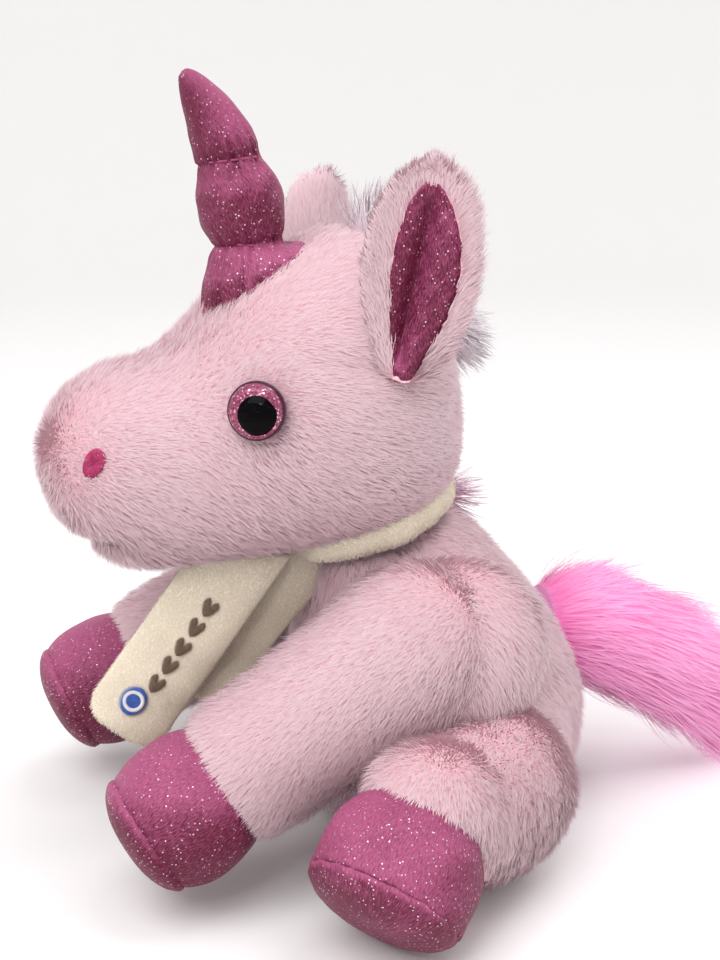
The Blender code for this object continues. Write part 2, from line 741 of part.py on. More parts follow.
def heart_mesh(name, size, thickness):
    """A flat heart, its point at -Y and its back at Z = 0."""

    def build(bm):
        outline = []
        for k in range(16):
            a = 2 * pi * k / 16
            x = 16 * sin(a) ** 3
            y = 13 * cos(a) - 5 * cos(2 * a) - 2 * cos(3 * a) - cos(4 * a)
            outline.append(bm.verts.new((x * size / 32, y * size / 32, 0)))
        base = bm.faces.new(outline)
        grown = bmesh.ops.extrude_face_region(bm, geom=[base])
        lifted = [item for item in grown["geom"] if isinstance(item, bmesh.types.BMVert)]
        bmesh.ops.translate(bm, vec=Vector((0, 0, thickness)), verts=lifted)
        bmesh.ops.recalc_face_normals(bm, faces=bm.faces)

    return mesh_of(name, build)


def make_scarf(torso_tree):
    """The collar, and two ends that leave it under the chin and fall over the chest."""
    make_collar()
    height = TORSO_HEIGHT - SCARF_END_DROP
    front, _ = surface(torso_tree, Vector((0, CHEST_BACK, CHEST_HEIGHT)), FORWARD)
    down = Vector((0.06, -0.58, -0.81)).normalized()
    across = SCARF_ACROSS - SCARF_ACROSS.project(down)
    across.normalize()
    reach = SCARF_WIDTH / 2 * abs(across.z)
    top = Vector((SCARF_END_SIDE, front.y - SCARF_END_AHEAD, height - reach))
    make_scarf_end("scarf_end_embroidered", top, down, across)
    behind = top + across * SCARF_WIDTH * SCARF_END_OVERLAP - SIDEWAYS * SCARF_END_APART
    make_scarf_end("scarf_end_plain", behind, down, across)
    step = SCARF_END_LENGTH / (MOTIF_COUNT + 2)
    lift = Matrix.Translation((0, 0, SCARF_WALL / 2 + SEAM_GAP))
    for k in range(MOTIF_COUNT):
        name = f"scarf_motif_{k + 1}"
        place = scarf_end_frame(top, down, across, step * (k + 0.8)) @ lift
        piece(name, heart_mesh(name, MOTIF_SIZE, MOTIF_THICKNESS), "stitching", place, smooth=False)
    place = scarf_end_frame(top, down, across, step * (MOTIF_COUNT + 1.0)) @ lift
    badge = rod_mesh("scarf_badge", BADGE_RADIUS, 0, MOTIF_THICKNESS, 20)
    piece("scarf_badge", badge, "badge", place, smooth=False)


# --- joints ---


def pieces_named(*starts):
    return [thing for thing in parts.objects if thing.name.startswith(starts)]


def hold(name, spot, held):
    """An empty on a joint's axis, which carries the pieces that turn about it."""
    joint = bpy.data.objects.new(name, None)
    parts.objects.link(joint)
    joint.location = spot
    for thing in held:
        thing.parent = joint
        thing.matrix_parent_inverse = Matrix.Translation(-spot)
    return joint


def hold_all():
    carried = []
    for side in SIDES:
        for limb, hoof in (("arm", "front_hoof"), ("leg", "hind_hoof")):
            pivot = bpy.data.objects[f"{limb}_{side}_skin"].matrix_world.translation.copy()
            hold(f"{limb}_{side}_joint", pivot, pieces_named(f"{limb}_{side}", f"{hoof}_{side}"))
        pivot = bpy.data.objects[f"ear_{side}"].matrix_world.translation.copy()
        carried.append(hold(f"ear_{side}_joint", pivot, pieces_named(f"ear_{side}")))
    pivot = bpy.data.objects["horn_skin"].matrix_world.translation.copy()
    carried.append(hold("horn_joint", pivot, pieces_named("horn_")))
    pivot = bpy.data.objects["tail_core"].matrix_world.translation.copy()
    hold("tail_joint", pivot, pieces_named("tail_"))
    carried += pieces_named("head_", "eye_", "nostril_", "forelock", "mane_")
    hold("neck_joint", neck_middle(), [*carried, bpy.data.objects["neck_fill"]])


# --- the whole toy ---

clear_scene()
parts = new_collection("plush_unicorn")
cutters = new_collection("plush_unicorn_cutters")

torso_skin = make_torso()
head_skin = make_head()
torso_tree = skin_tree(torso_skin)
head_tree = skin_tree(head_skin)

neck_socket = make_neck()
sockets = [neck_socket, make_tail(torso_tree)]
for side_name in SIDES:
    sockets.append(make_arm(side_name, torso_tree))
    sockets.append(make_leg(side_name, torso_tree))
torso_fill = fill_torso()
thicken(torso_skin, PLUSH_WALL)
cut(torso_skin, *sockets)
cut(torso_fill, *sockets)

head_sockets = [neck_socket, make_horn(head_tree)]
head_fill = fill_head()
pockets = []
peg_holes = []
for side_name in SIDES:
    head_sockets.append(make_ear(side_name, head_tree))
    make_nostril(side_name, head_tree)
    hole_cutter, pocket_cutter = make_eye(side_name, head_tree)
    peg_holes.append(hole_cutter)
    pockets.append(pocket_cutter)
thicken(head_skin, PLUSH_WALL)
cut(head_skin, *head_sockets, *peg_holes)
cut(head_fill, *head_sockets, *pockets)
skull = skull_middle()
make_tuft("forelock", head_tree, skull, UP - FORWARD * 0.45, FORELOCK_SIZE)
make_tuft("mane_tuft", head_tree, skull, -FORWARD + UP * 0.32, MANE_SIZE)
make_scarf(torso_tree)
hold_all()
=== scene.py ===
import json
import math

import bmesh
import bpy
import numpy as np
from mathutils.bvhtree import BVHTree
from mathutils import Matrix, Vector


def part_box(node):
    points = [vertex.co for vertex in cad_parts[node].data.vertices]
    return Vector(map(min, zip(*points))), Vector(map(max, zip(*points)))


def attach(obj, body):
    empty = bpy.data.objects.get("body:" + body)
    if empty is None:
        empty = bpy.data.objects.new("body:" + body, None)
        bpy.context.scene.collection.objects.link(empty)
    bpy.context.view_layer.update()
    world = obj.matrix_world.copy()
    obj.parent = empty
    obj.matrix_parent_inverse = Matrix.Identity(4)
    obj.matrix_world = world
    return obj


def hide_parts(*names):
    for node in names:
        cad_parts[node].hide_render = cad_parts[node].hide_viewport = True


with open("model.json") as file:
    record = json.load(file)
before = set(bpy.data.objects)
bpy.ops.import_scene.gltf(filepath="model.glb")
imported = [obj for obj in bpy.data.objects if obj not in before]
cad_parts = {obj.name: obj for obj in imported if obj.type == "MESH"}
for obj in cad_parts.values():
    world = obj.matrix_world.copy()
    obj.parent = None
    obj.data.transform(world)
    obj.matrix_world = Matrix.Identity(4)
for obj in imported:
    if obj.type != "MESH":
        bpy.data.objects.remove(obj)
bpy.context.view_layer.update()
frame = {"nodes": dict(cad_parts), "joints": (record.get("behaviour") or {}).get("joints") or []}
mm = 0.001
sides = {"left": 1, "right": -1}
up = np.array([0.0, 0.0, 1.0])


def unit(v):
    v = np.asarray(v, float)
    return v / max(np.linalg.norm(v), 1e-12)


def fade(value, start, end):
    # 0 before start, 1 after end, smooth between
    t = np.clip((value - start) / (end - start), 0, 1)
    return t * t * (3 - 2 * t)


def linear(hexText):
    # an sRGB hex colour as linear light
    parts = [int(hexText[k : k + 2], 16) / 255 for k in (1, 3, 5)]
    return [c / 12.92 if c <= 0.04045 else ((c + 0.055) / 1.055) ** 2.4 for c in parts] + [1.0]


def addNode(tree, kind, inputs=None, out=None, **settings):
    # adds a node with its settings and links; gives back the node, or one of its outputs
    node = tree.nodes.new(kind)
    for name, value in settings.items():
        setattr(node, name, value)
    for key, value in (inputs or {}).items():
        if isinstance(value, bpy.types.Node):
            value = value.outputs[0]
        if isinstance(value, bpy.types.NodeSocket):
            tree.links.new(value, node.inputs[key])
        else:
            node.inputs[key].default_value = value
    return node if out is None else node.outputs[out]


def newMaterial(name, roughness, ior=1.5):
    material = bpy.data.materials.new(name)
    material.use_nodes = True
    tree = material.node_tree
    shader = tree.nodes["Principled BSDF"]
    shader.inputs["Roughness"].default_value = roughness
    shader.inputs["IOR"].default_value = ior
    return material, tree, shader


def meshObject(name, points, faces, smooth=True):
    mesh = bpy.data.meshes.new(name)
    mesh.from_pydata([tuple(p) for p in points], [], [tuple(f) for f in faces])
    mesh.validate()
    bm = bmesh.new()
    bm.from_mesh(mesh)
    bmesh.ops.remove_doubles(bm, verts=bm.verts, dist=1e-7)
    bmesh.ops.recalc_face_normals(bm, faces=bm.faces)
    bm.to_mesh(mesh)
    bm.free()
    mesh.shade_smooth() if smooth else mesh.shade_flat()
    thing = bpy.data.objects.new(name, mesh)
    bpy.context.scene.collection.objects.link(thing)
    return thing


def spread(knots, values, count):
    # a smooth curve through values (Catmull-Rom), read at count even steps of the knots
    knots, values = np.asarray(knots, float), np.asarray(values, float)
    slopes = np.gradient(values, knots, axis=0)
    where = np.linspace(knots[0], knots[-1], count)
    k = np.clip(np.searchsorted(knots, where, side="right") - 1, 0, len(knots) - 2)
    step = (knots[k + 1] - knots[k])[:, None]
    t = ((where - knots[k]) / step[:, 0])[:, None]
    a, b, ma, mb = values[k], values[k + 1], slopes[k] * step, slopes[k + 1] * step
    begin = (2 * t**3 - 3 * t**2 + 1) * a + (t**3 - 2 * t**2 + t) * ma
    return begin + (3 * t**2 - 2 * t**3) * b + (t**3 - t**2) * mb


def ringFaces(rings, around):
    faces = []
    for r in range(rings - 1):
        for k in range(around):
            n = (k + 1) % around
            faces.append((r * around + k, r * around + n, (r + 1) * around + n, (r + 1) * around + k))
    faces.append(tuple(range(around))[::-1])
    faces.append(tuple(range((rings - 1) * around, rings * around)))
    return faces


def limbShape(stations, rings=26, around=28):
    # stations: x, y, z, radius, in millimetres, along the limb
    stations = np.array(stations, float) * mm
    knots = np.r_[0, np.cumsum(np.linalg.norm(np.diff(stations[:, :3], axis=0), axis=1))]
    path = spread(knots, stations, rings)
    points = []
    for k in range(rings):
        way = unit(path[min(k + 1, rings - 1), :3] - path[max(k - 1, 0), :3])
        side = unit(np.cross(way, up) if abs(way[2]) < 0.97 else np.cross(way, [0, 1, 0]))
        high = np.cross(side, way)
        for a in np.linspace(0, 2 * math.pi, around, endpoint=False):
            points.append(path[k, :3] + path[k, 3] * (math.cos(a) * side + math.sin(a) * high))
    return np.array(points), ringFaces(rings, around)


def sectionShape(stations, axis, rings=40, around=44, power=2.25):
    # stations: place along the axis, first end, second end, half width, widest place, in millimetres
    stations = np.array(stations, float) * mm
    path = spread(stations[:, 0], stations, rings)
    points = []
    for place, low, high, half, middle in path:
        for a in np.linspace(0, 2 * math.pi, around, endpoint=False):
            c, s = math.cos(a), math.sin(a)
            x = max(half, 1e-4) * math.copysign(abs(c) ** (2 / power), c)
            rise = (high - middle) if s > 0 else (middle - low)
            other = middle + rise * math.copysign(abs(s) ** (2 / power), s)
            points.append((x, place, other) if axis == "y" else (x, other, place))
    return np.array(points), ringFaces(rings, around)


def together(name, shapes):
    points, faces, count = [], [], 0
    for p, f in shapes:
        points.append(p)
        faces += [tuple(i + count for i in face) for face in f]
        count += len(p)
    return meshObject(name, np.concatenate(points), faces)


def places(thing):
    co = np.empty(len(thing.data.vertices) * 3, np.float32)
    thing.data.vertices.foreach_get("co", co)
    return co.reshape(-1, 3).astype(float)


def normals(thing):
    n = np.empty(len(thing.data.vertices) * 3, np.float32)
    thing.data.vertex_normals.foreach_get("vector", n)
    return n.reshape(-1, 3).astype(float)


def move(thing, points):
    thing.data.vertices.foreach_set("co", np.asarray(points, np.float32).ravel())
    thing.data.update()
    return thing


def baked(thing):
    # the evaluated mesh takes the place of the modifiers
    graph = bpy.context.evaluated_depsgraph_get()
    mesh = bpy.data.meshes.new_from_object(thing.evaluated_get(graph))
    old = thing.data
    thing.modifiers.clear()
    thing.data = mesh
    mesh.name = thing.name
    bpy.data.meshes.remove(old)
    return thing


def ease(thing, rounds, share=0.5):
    smooth = thing.modifiers.new("ease", "SMOOTH")
    smooth.iterations = rounds
    smooth.factor = share
    return baked(thing)


def stuffed(thing, voxel=0.0042, cap=0.0022, pressure=3.0, held=None):
    # the recipe for a stuffed piece: remesh, blow up as cloth between its seams, cap, subdivide
    remesh = thing.modifiers.new("remesh", "REMESH")
    remesh.mode = "VOXEL"
    remesh.voxel_size = voxel
    baked(thing)
    ease(thing, 4)
    rest = places(thing)
    cloth = thing.modifiers.new("cloth", "CLOTH")
    settings = cloth.settings
    settings.mass = 0.002
    settings.quality = 4
    settings.use_pressure = True
    settings.uniform_pressure_force = pressure
    settings.effector_weights.gravity = 0
    cloth.collision_settings.use_collision = False
    if held is not None:
        group = thing.vertex_groups.new(name="seam")
        for k in np.flatnonzero(held(rest) > 0.5):
            group.add([int(k)], 1.0, "REPLACE")
        settings.vertex_group_mass = "seam"
        settings.pin_stiffness = 1.0
    cloth.point_cache.frame_start, cloth.point_cache.frame_end = 1, 20
    scene = bpy.context.scene
    for step in range(1, 21):
        scene.frame_set(step)
    baked(thing)
    shift = places(thing) - rest
    far = np.linalg.norm(shift, axis=1)
    print(f"unicorn: {thing.name} swells by {far.max() * 1000:.1f} mm before its cap")
    shift *= (np.minimum(far, cap) / np.maximum(far, 1e-9))[:, None]
    move(thing, rest + shift)
    scene.frame_set(1)
    rounder = thing.modifiers.new("rounder", "SUBSURF")
    rounder.levels = rounder.render_levels = 1
    baked(thing)
    thing.vertex_groups.clear()
    thing.data.shade_smooth()
    return thing


def depthIn(points, thing):
    # how deep each point lies inside a closed piece, in metres; negative outside it
    mesh = thing.data
    tree = BVHTree.FromPolygons([v.co for v in mesh.vertices], [face.vertices for face in mesh.polygons])
    depths = []
    for point in points:
        near, outward = tree.find_nearest(Vector(point))[:2]
        depths.append((near - Vector(point)).dot(outward))
    return np.array(depths)


def onSeam(points, seam):
    # distance from each point to a polyline given in millimetres
    seam = np.asarray(seam, float) * mm
    best = np.full(len(points), 1e9)
    for a, b in zip(seam[:-1], seam[1:]):
        t = np.clip(((points - a) @ (b - a)) / max((b - a) @ (b - a), 1e-12), 0, 1)
        best = np.minimum(best, np.linalg.norm(points - a - t[:, None] * (b - a), axis=1))
    return best


def keep(thing, name, kind, values):
    layer = thing.data.attributes.new(name, kind, "POINT")
    values = np.asarray(values, np.float32).ravel()
    layer.data.foreach_set("vector" if kind == "FLOAT_VECTOR" else "value", values)

def ballShape(centre, radii, rings=22, around=32):
    # a closed ellipsoid, in millimetres
    points = []
    for t in np.linspace(-math.pi / 2 + 0.03, math.pi / 2 - 0.03, rings):
        for a in np.linspace(0, 2 * math.pi, around, endpoint=False):
            ball = np.array([math.cos(t) * math.cos(a), math.cos(t) * math.sin(a), math.sin(t)])
            points.append((np.asarray(centre, float) + ball * radii) * mm)
    return np.array(points), ringFaces(rings, around)


# pile: flat tapered strands set on a skin by Geometry Nodes


def strandShapes(name, steps, curves):
    # strands one metre long and wide, each curled its own way; the width runs along X
    group = bpy.data.collections.new(name)
    for n, (bow, sway) in enumerate(curves):
        points, faces, along, across = [], [], [], []
        for k in range(steps):
            t = k / steps
            width = 0.5 * (1 - 0.55 * t**1.5)
            for s in (-1, 1):
                points.append((s * width, bow * math.sin(math.pi * t * 0.9), t))
                along.append(t)
                across.append(0.5 + 0.5 * s)
        points.append((sway, bow * math.sin(math.pi * 0.9), 1.0))
        along.append(1.0)
        across.append(0.5)
        for k in range(steps - 1):
            faces.append((2 * k + 1, 2 * k, 2 * k + 2, 2 * k + 3))
        faces.append((2 * steps - 1, 2 * steps - 2, 2 * steps))
        mesh = bpy.data.meshes.new(f"{name}{n}")
        mesh.from_pydata(points, [], faces)
        mesh.shade_smooth()
        for label, values in (("along", along), ("across", across)):
            layer = mesh.attributes.new(label, "FLOAT", "POINT")
            layer.data.foreach_set("value", values)
        group.objects.link(bpy.data.objects.new(f"{name}{n}", mesh))
    return group


def pileTree():
    tree = bpy.data.node_groups.new("pile on a skin", "GeometryNodeTree")
    face = tree.interface
    face.new_socket("Geometry", in_out="INPUT", socket_type="NodeSocketGeometry")
    face.new_socket("Geometry", in_out="OUTPUT", socket_type="NodeSocketGeometry")
    kinds = {"strands": "NodeSocketCollection", "finish": "NodeSocketMaterial", "seed": "NodeSocketInt"}
    names = ("strands", "finish", "seed", "perSquareMetre", "width", "lift", "clump", "clumpsPerMetre")
    for name in names + ("stray", "sway", "swaysPerMetre", "spread"):
        face.new_socket(name, in_out="INPUT", socket_type=kinds.get(name, "NodeSocketFloat"))
    given = addNode(tree, "NodeGroupInput").outputs
    read = {}
    for name in ("comb", "pileLength", "pileTone", "pileDensity", "shade", "bend", "along", "across"):
        kind = "FLOAT_VECTOR" if name in ("comb", "bend") else "FLOAT"
        read[name] = addNode(
            tree, "GeometryNodeInputNamedAttribute", {"Name": name}, "Attribute", data_type=kind
        )
    least = addNode(tree, "ShaderNodeMath", {0: 1.0, 1: given["spread"]}, 0, operation="SUBTRACT")
    draws = {"stray": None, "facing": None, "length": (least, 1.0), "tone": (-0.10, 0.20), "tangle": None}
    drawn = {}
    for n, (name, reach) in enumerate(draws.items()):
        seed = addNode(tree, "ShaderNodeMath", {0: given["seed"], 1: float(n + 1)}, 0, operation="ADD")
        if reach:
            spans = {2: reach[0], 3: reach[1], "Seed": seed}
            drawn[name] = addNode(tree, "FunctionNodeRandomValue", spans, 1, data_type="FLOAT")
        else:
            spans = {0: (-1, -1, -1), 1: (1, 1, 1), "Seed": seed}
            drawn[name] = addNode(tree, "FunctionNodeRandomValue", spans, 0, data_type="FLOAT_VECTOR")
    spot = addNode(tree, "GeometryNodeInputPosition")
    for name, perMetre, offset in (("clumps", "clumpsPerMetre", 3.1), ("sways", "swaysPerMetre", 7.7)):
        where = addNode(tree, "ShaderNodeVectorMath", {0: spot, 1: (offset, 0.0, 0.0)}, 0, operation="ADD")
        noise = {"Vector": where, "Scale": given[perMetre], "Detail": 1.0}
        noise = addNode(tree, "ShaderNodeTexNoise", noise, "Color")
        drawn[name] = addNode(
            tree, "ShaderNodeVectorMath", {0: noise, 1: (0.5, 0.5, 0.5)}, 0, operation="SUBTRACT"
        )

    settings = {0: given["perSquareMetre"], 1: read["pileDensity"]}
    density = addNode(tree, "ShaderNodeMath", settings, 0, operation="MULTIPLY")
    settings = {"Mesh": given["Geometry"], "Density": density, "Seed": given["seed"]}
    scatter = addNode(tree, "GeometryNodeDistributePointsOnFaces", settings, distribute_method="RANDOM")
    outward = scatter.outputs["Normal"]
    way = read["comb"]
    for part, amount in ((outward, "lift"), (drawn["clumps"], "clump"), (drawn["stray"], "stray")):
        scaled = addNode(tree, "ShaderNodeVectorMath", {0: part, 3: given[amount]}, 0, operation="SCALE")
        way = addNode(tree, "ShaderNodeVectorMath", {0: way, 1: scaled}, 0, operation="ADD")
    turned = addNode(tree, "FunctionNodeAlignRotationToVector", {"Vector": way}, axis="Z")
    facing = addNode(tree, "ShaderNodeVectorMath", {0: drawn["facing"], 3: 0.3}, 0, operation="SCALE")
    facing = addNode(tree, "ShaderNodeVectorMath", {0: outward, 1: facing}, 0, operation="ADD")
    aim = {"Rotation": turned, "Vector": facing}
    turned = addNode(tree, "FunctionNodeAlignRotationToVector", aim, axis="Y", pivot_axis="Z")
    settings = {0: read["pileLength"], 1: drawn["length"]}
    length = addNode(tree, "ShaderNodeMath", settings, 0, operation="MULTIPLY")
    size = addNode(tree, "ShaderNodeCombineXYZ", {0: given["width"], 1: length, 2: length})
    shade = addNode(tree, "ShaderNodeMath", {0: read["pileTone"], 1: 0.72}, 0, operation="MULTIPLY")
    shade = addNode(tree, "ShaderNodeMath", {0: shade, 1: drawn["tone"]}, 0, operation="ADD")
    bend = addNode(tree, "ShaderNodeVectorMath", {0: drawn["tangle"], 3: 0.12}, 0, operation="SCALE")
    bend = addNode(tree, "ShaderNodeVectorMath", {0: drawn["sways"], 1: bend}, 0, operation="ADD")
    bend = addNode(tree, "ShaderNodeVectorMath", {0: bend, 3: given["sway"]}, 0, operation="SCALE")
    roots = scatter.outputs["Points"]
    for name, kind, value in (
        ("shade", "FLOAT", shade), ("bend", "FLOAT_VECTOR", bend), ("outward", "FLOAT_VECTOR", outward)
    ):
        settings = {"Geometry": roots, "Name": name, "Value": value}
        roots = addNode(tree, "GeometryNodeStoreNamedAttribute", settings, 0, data_type=kind, domain="POINT")
    settings = {"Collection": given["strands"], "Separate Children": True, "Reset Children": True}
    strands = addNode(tree, "GeometryNodeCollectionInfo", settings)
    settings = {
        "Points": roots, "Instance": strands, "Pick Instance": True, "Rotation": turned, "Scale": size
    }
    placed = addNode(tree, "GeometryNodeInstanceOnPoints", settings)
    real = addNode(tree, "GeometryNodeRealizeInstances", {"Geometry": placed})
    curve = addNode(tree, "ShaderNodeMath", {0: read["along"], 1: 1.6}, 0, operation="POWER")
    offset = addNode(tree, "ShaderNodeVectorMath", {0: read["bend"], 3: curve}, 0, operation="SCALE")
    real = addNode(tree, "GeometryNodeSetPosition", {"Geometry": real, "Offset": offset})
    tone = addNode(tree, "ShaderNodeClamp", {0: read["shade"], 1: 0.01, 2: 0.97})
    across = addNode(
        tree, "ShaderNodeMath", {0: read["across"], 1: 0.02, 2: tone}, 0, operation="MULTIPLY_ADD"
    )
    lengthwise = addNode(
        tree, "ShaderNodeMath", {0: read["along"], 1: 0.98, 2: 0.01}, 0, operation="MULTIPLY_ADD"
    )
    flat = addNode(tree, "ShaderNodeCombineXYZ", {0: across, 1: lengthwise})
    settings = {"Geometry": real, "Name": "OFBake", "Value": flat}
    real = addNode(tree, "GeometryNodeStoreNamedAttribute", settings, data_type="FLOAT2", domain="CORNER")
    real = addNode(tree, "GeometryNodeSetMaterial", {"Geometry": real, "Material": given["finish"]})
    addNode(tree, "NodeGroupOutput", {0: real})
    return tree


pileNodes = pileTree()
shortStrands = strandShapes("shortStrand", 2, ((0.10, 0.0), (0.05, 0.3), (0.14, -0.3), (-0.04, 0.1)))
longStrands = strandShapes("longStrand", 5, ((0.06, 0.0), (0.12, 0.4), (-0.05, -0.4), (0.02, 0.8)))


def pile(name, skin, finish, strands, settings, seed, part=None, softness=0.88):
    # one piece of fur on a skin that has its comb, length, tone and density attributes
    source = skin.copy()
    source.data = skin.data.copy()
    source.name = name
    bpy.context.scene.collection.objects.link(source)
    if part is not None:
        density = np.empty(len(source.data.vertices), np.float32)
        layer = source.data.attributes["pileDensity"].data
        layer.foreach_get("value", density)
        layer.foreach_set("value", (density * part(places(source))).astype(np.float32))
    modifier = source.modifiers.new("pile", "NODES")
    modifier.node_group = pileNodes
    values = {"strands": strands, "finish": finish, "seed": seed, **settings}
    for item in pileNodes.interface.items_tree:
        if item.in_out == "INPUT" and item.name in values:
            value = values[item.name]
            modifier[item.identifier] = value if isinstance(value, (bpy.types.ID, int)) else float(value)
    baked(source)
    mesh = source.data
    spots = places(source)
    spots[:, 2] = np.maximum(spots[:, 2], 0.0003)
    move(source, spots)
    mesh.materials.clear()
    mesh.materials.append(finish)
    mesh.polygons.foreach_set("material_index", np.zeros(len(mesh.polygons), np.int32))
    mesh.shade_smooth()
    # each strand is lit mostly as the skin under it, which is how a dense pile looks
    outward = np.empty(len(mesh.vertices) * 3, np.float32)
    mesh.attributes["outward"].data.foreach_get("vector", outward)
    soft = outward.reshape(-1, 3) * softness + normals(source) * (1 - softness)
    for label in [a.name for a in mesh.attributes if not (a.is_internal or a.is_required)]:
        if label not in ("position", "OFBake"):
            mesh.attributes.remove(mesh.attributes[label])
    mesh.normals_split_custom_set_from_vertices(
        soft / np.maximum(np.linalg.norm(soft, axis=1), 1e-6)[:, None]
    )
    # light scatters through a dense pile, so its strands throw no shade on each other; the skin under
    # them does
    source.visible_shadow = False
    mesh.calc_loop_triangles()
    print(f"unicorn: {name} has {len(mesh.loop_triangles)} triangles")
    return source


def ready(thing, slot, body, *nodes, material=None):
    if material is not None:
        thing.data.materials.clear()
        thing.data.materials.append(material)
    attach(thing, body)
    if nodes:
        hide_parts(*nodes)
    return thing


# camera, floor and light

view = {"turn": 74, "rise": 15, "distance": 0.514, "aim": (0, -0.022, 0.107), "lens": 63}
turn, rise = math.radians(view["turn"]), math.radians(view["rise"])
away = Vector((math.sin(turn) * math.cos(rise), -math.cos(turn) * math.cos(rise), math.sin(rise)))
camera = bpy.data.objects.new("camera", bpy.data.cameras.new("camera"))
camera.data.lens = view["lens"]
camera.data.sensor_width = 36
camera.data.clip_start = 0.01
camera.location = Vector(view["aim"]) + away * view["distance"]
camera.rotation_euler = away.to_track_quat("Z", "Y").to_euler()
bpy.context.scene.collection.objects.link(camera)
bpy.context.scene.camera = camera
bpy.context.scene.view_settings.view_transform = "Standard"

lighting = {
    "worldColour": "#FDFBFB",
    "worldStrength": 0.74,
    # each lamp: place, size and power
    "key": ((0.48, -0.55, 1.02), 0.9, 8.0),
    "top": ((0.0, 0.35, 1.15), 0.7, 4.0),
    "catch": ((0.62, -0.42, 0.55), 0.08, 0.35),
}
world = bpy.data.worlds.new("studio")
world.use_nodes = True
world.node_tree.nodes["Background"].inputs["Color"].default_value = linear(lighting["worldColour"])
world.node_tree.nodes["Background"].inputs["Strength"].default_value = lighting["worldStrength"]
bpy.context.scene.world = world
for name in ("key", "top", "catch"):
    place, size, power = lighting[name]
    lamp = bpy.data.objects.new(name, bpy.data.lights.new(name, "AREA"))
    lamp.data.size = size
    lamp.data.energy = power
    lamp.location = place
    lamp.rotation_euler = (Vector(place) - Vector(view["aim"])).to_track_quat("Z", "Y").to_euler()
    bpy.context.scene.collection.objects.link(lamp)

# a paper sweep that rises all round, so no edge of the floor shows
sweep = {"flat": 1.1, "rise": 1.3, "out": 0.9, "steps": 14, "around": 72, "drop": 0.0008}
floorMaterial, floorTree, floorShader = newMaterial("sweepPaper", 0.9)
paper = addNode(floorTree, "ShaderNodeTexNoise", {"Scale": 6.0}, 0)
paper = addNode(
    floorTree, "ShaderNodeMix", {0: paper, 6: linear("#F9F8F8"), 7: linear("#FCFBFB")}, 2, data_type="RGBA"
)
floorTree.links.new(paper, floorShader.inputs["Base Color"])
points, faces = [(0, 0, -sweep["drop"])], []
for k in range(sweep["steps"] + 1):
    bow = math.pi / 2 * k / sweep["steps"]
    radius = sweep["flat"] + sweep["out"] * math.sin(bow)
    height = sweep["rise"] * (1 - math.cos(bow)) - sweep["drop"]
    for a in np.linspace(0, 2 * math.pi, sweep["around"], endpoint=False):
        points.append((radius * math.cos(a), radius * math.sin(a), height))
for m in range(sweep["around"]):
    n = (m + 1) % sweep["around"]
    faces.append((0, 1 + m, 1 + n))
    for k in range(sweep["steps"]):
        a, b = 1 + k * sweep["around"], 1 + (k + 1) * sweep["around"]
        faces.append((a + m, b + m, b + n, a + n))
floor = meshObject("floor", points, faces)
floor.data.materials.append(floorMaterial)
print("unicorn: camera, floor and light are set")

# finishes


def pileFinish(name, root, tip, deepRoot, deepTip, roughness=0.85, sheen=0.25):
    # knitted polyester pile: matt, with painted shade deepening it from the tips down to the roots; u is a
    # strand's tone, v runs from root to tip
    material, tree, shader = newMaterial(name, roughness)
    uv = addNode(tree, "ShaderNodeUVMap", uv_map="OFBake")
    parts = addNode(tree, "ShaderNodeSeparateXYZ", {0: uv})
    # painted shade: v deepens the colour towards the roots
    reach = addNode(tree, "ShaderNodeMapRange", {0: parts.outputs[1], 1: 0.05, 2: 0.75}, 0)
    pale = addNode(tree, "ShaderNodeMix", {0: reach, 6: linear(root), 7: linear(tip)}, 2, data_type="RGBA")
    deep = addNode(
        tree, "ShaderNodeMix", {0: reach, 6: linear(deepRoot), 7: linear(deepTip)}, 2, data_type="RGBA"
    )
    colour = addNode(tree, "ShaderNodeMix", {0: parts.outputs[0], 6: deep, 7: pale}, 2, data_type="RGBA")
    tree.links.new(colour, shader.inputs["Base Color"])
    shader.inputs["Sheen Weight"].default_value = sheen
    shader.inputs["Sheen Roughness"].default_value = 0.5
    shader.inputs["Sheen Tint"].default_value = linear("#FFF4F7")
    shader.inputs["Specular IOR Level"].default_value = 0.2
    return material


plushPile = pileFinish("plushPolyesterPile", "#D3AAB4", "#DCC6CC", "#CCA0AA", "#D6B7BE")
tailPile = pileFinish("tailAcrylicPile", "#F286C5", "#F5B0DB", "#EE72BA", "#F4A0D4", 0.6, 0.5)
manePile = pileFinish("maneAcrylicPile", "#D8C8D0", "#E8E0E5", "#CCB8C2", "#DBCDD5", 0.6, 0.25)
mauvePile = pileFinish("napeAcrylicPile", "#C98FAE", "#DDB4C7", "#BC7C9D", "#D19FB9", 0.6, 0.25)
creamPile = pileFinish("creamMinkyPile", "#DED2BB", "#EBE4D2", "#D3C5AB", "#E2D8C3")


def backingFinish(name, dark, light):
    # knitted backing under the pile: matt polyester in rows 0.9 mm apart
    material, tree, shader = newMaterial(name, 0.9)
    spot = addNode(tree, "ShaderNodeTexCoord", None, "Object")
    patches = addNode(tree, "ShaderNodeTexNoise", {"Vector": spot, "Scale": 160.0, "Detail": 2.0}, 0)
    rows = {"Vector": spot, "Scale": 350.0, "Distortion": 2.0}
    rows = addNode(tree, "ShaderNodeTexWave", rows, 1, bands_direction="Z")
    colour = addNode(
        tree, "ShaderNodeMix", {0: patches, 6: linear(dark), 7: linear(light)}, 2, data_type="RGBA"
    )
    tree.links.new(colour, shader.inputs["Base Color"])
    bump = addNode(tree, "ShaderNodeBump", {"Height": rows, "Strength": 0.3, "Distance": 0.0002}, 0)
    tree.links.new(bump, shader.inputs["Normal"])
    shader.inputs["Sheen Weight"].default_value = 0.3
    return material


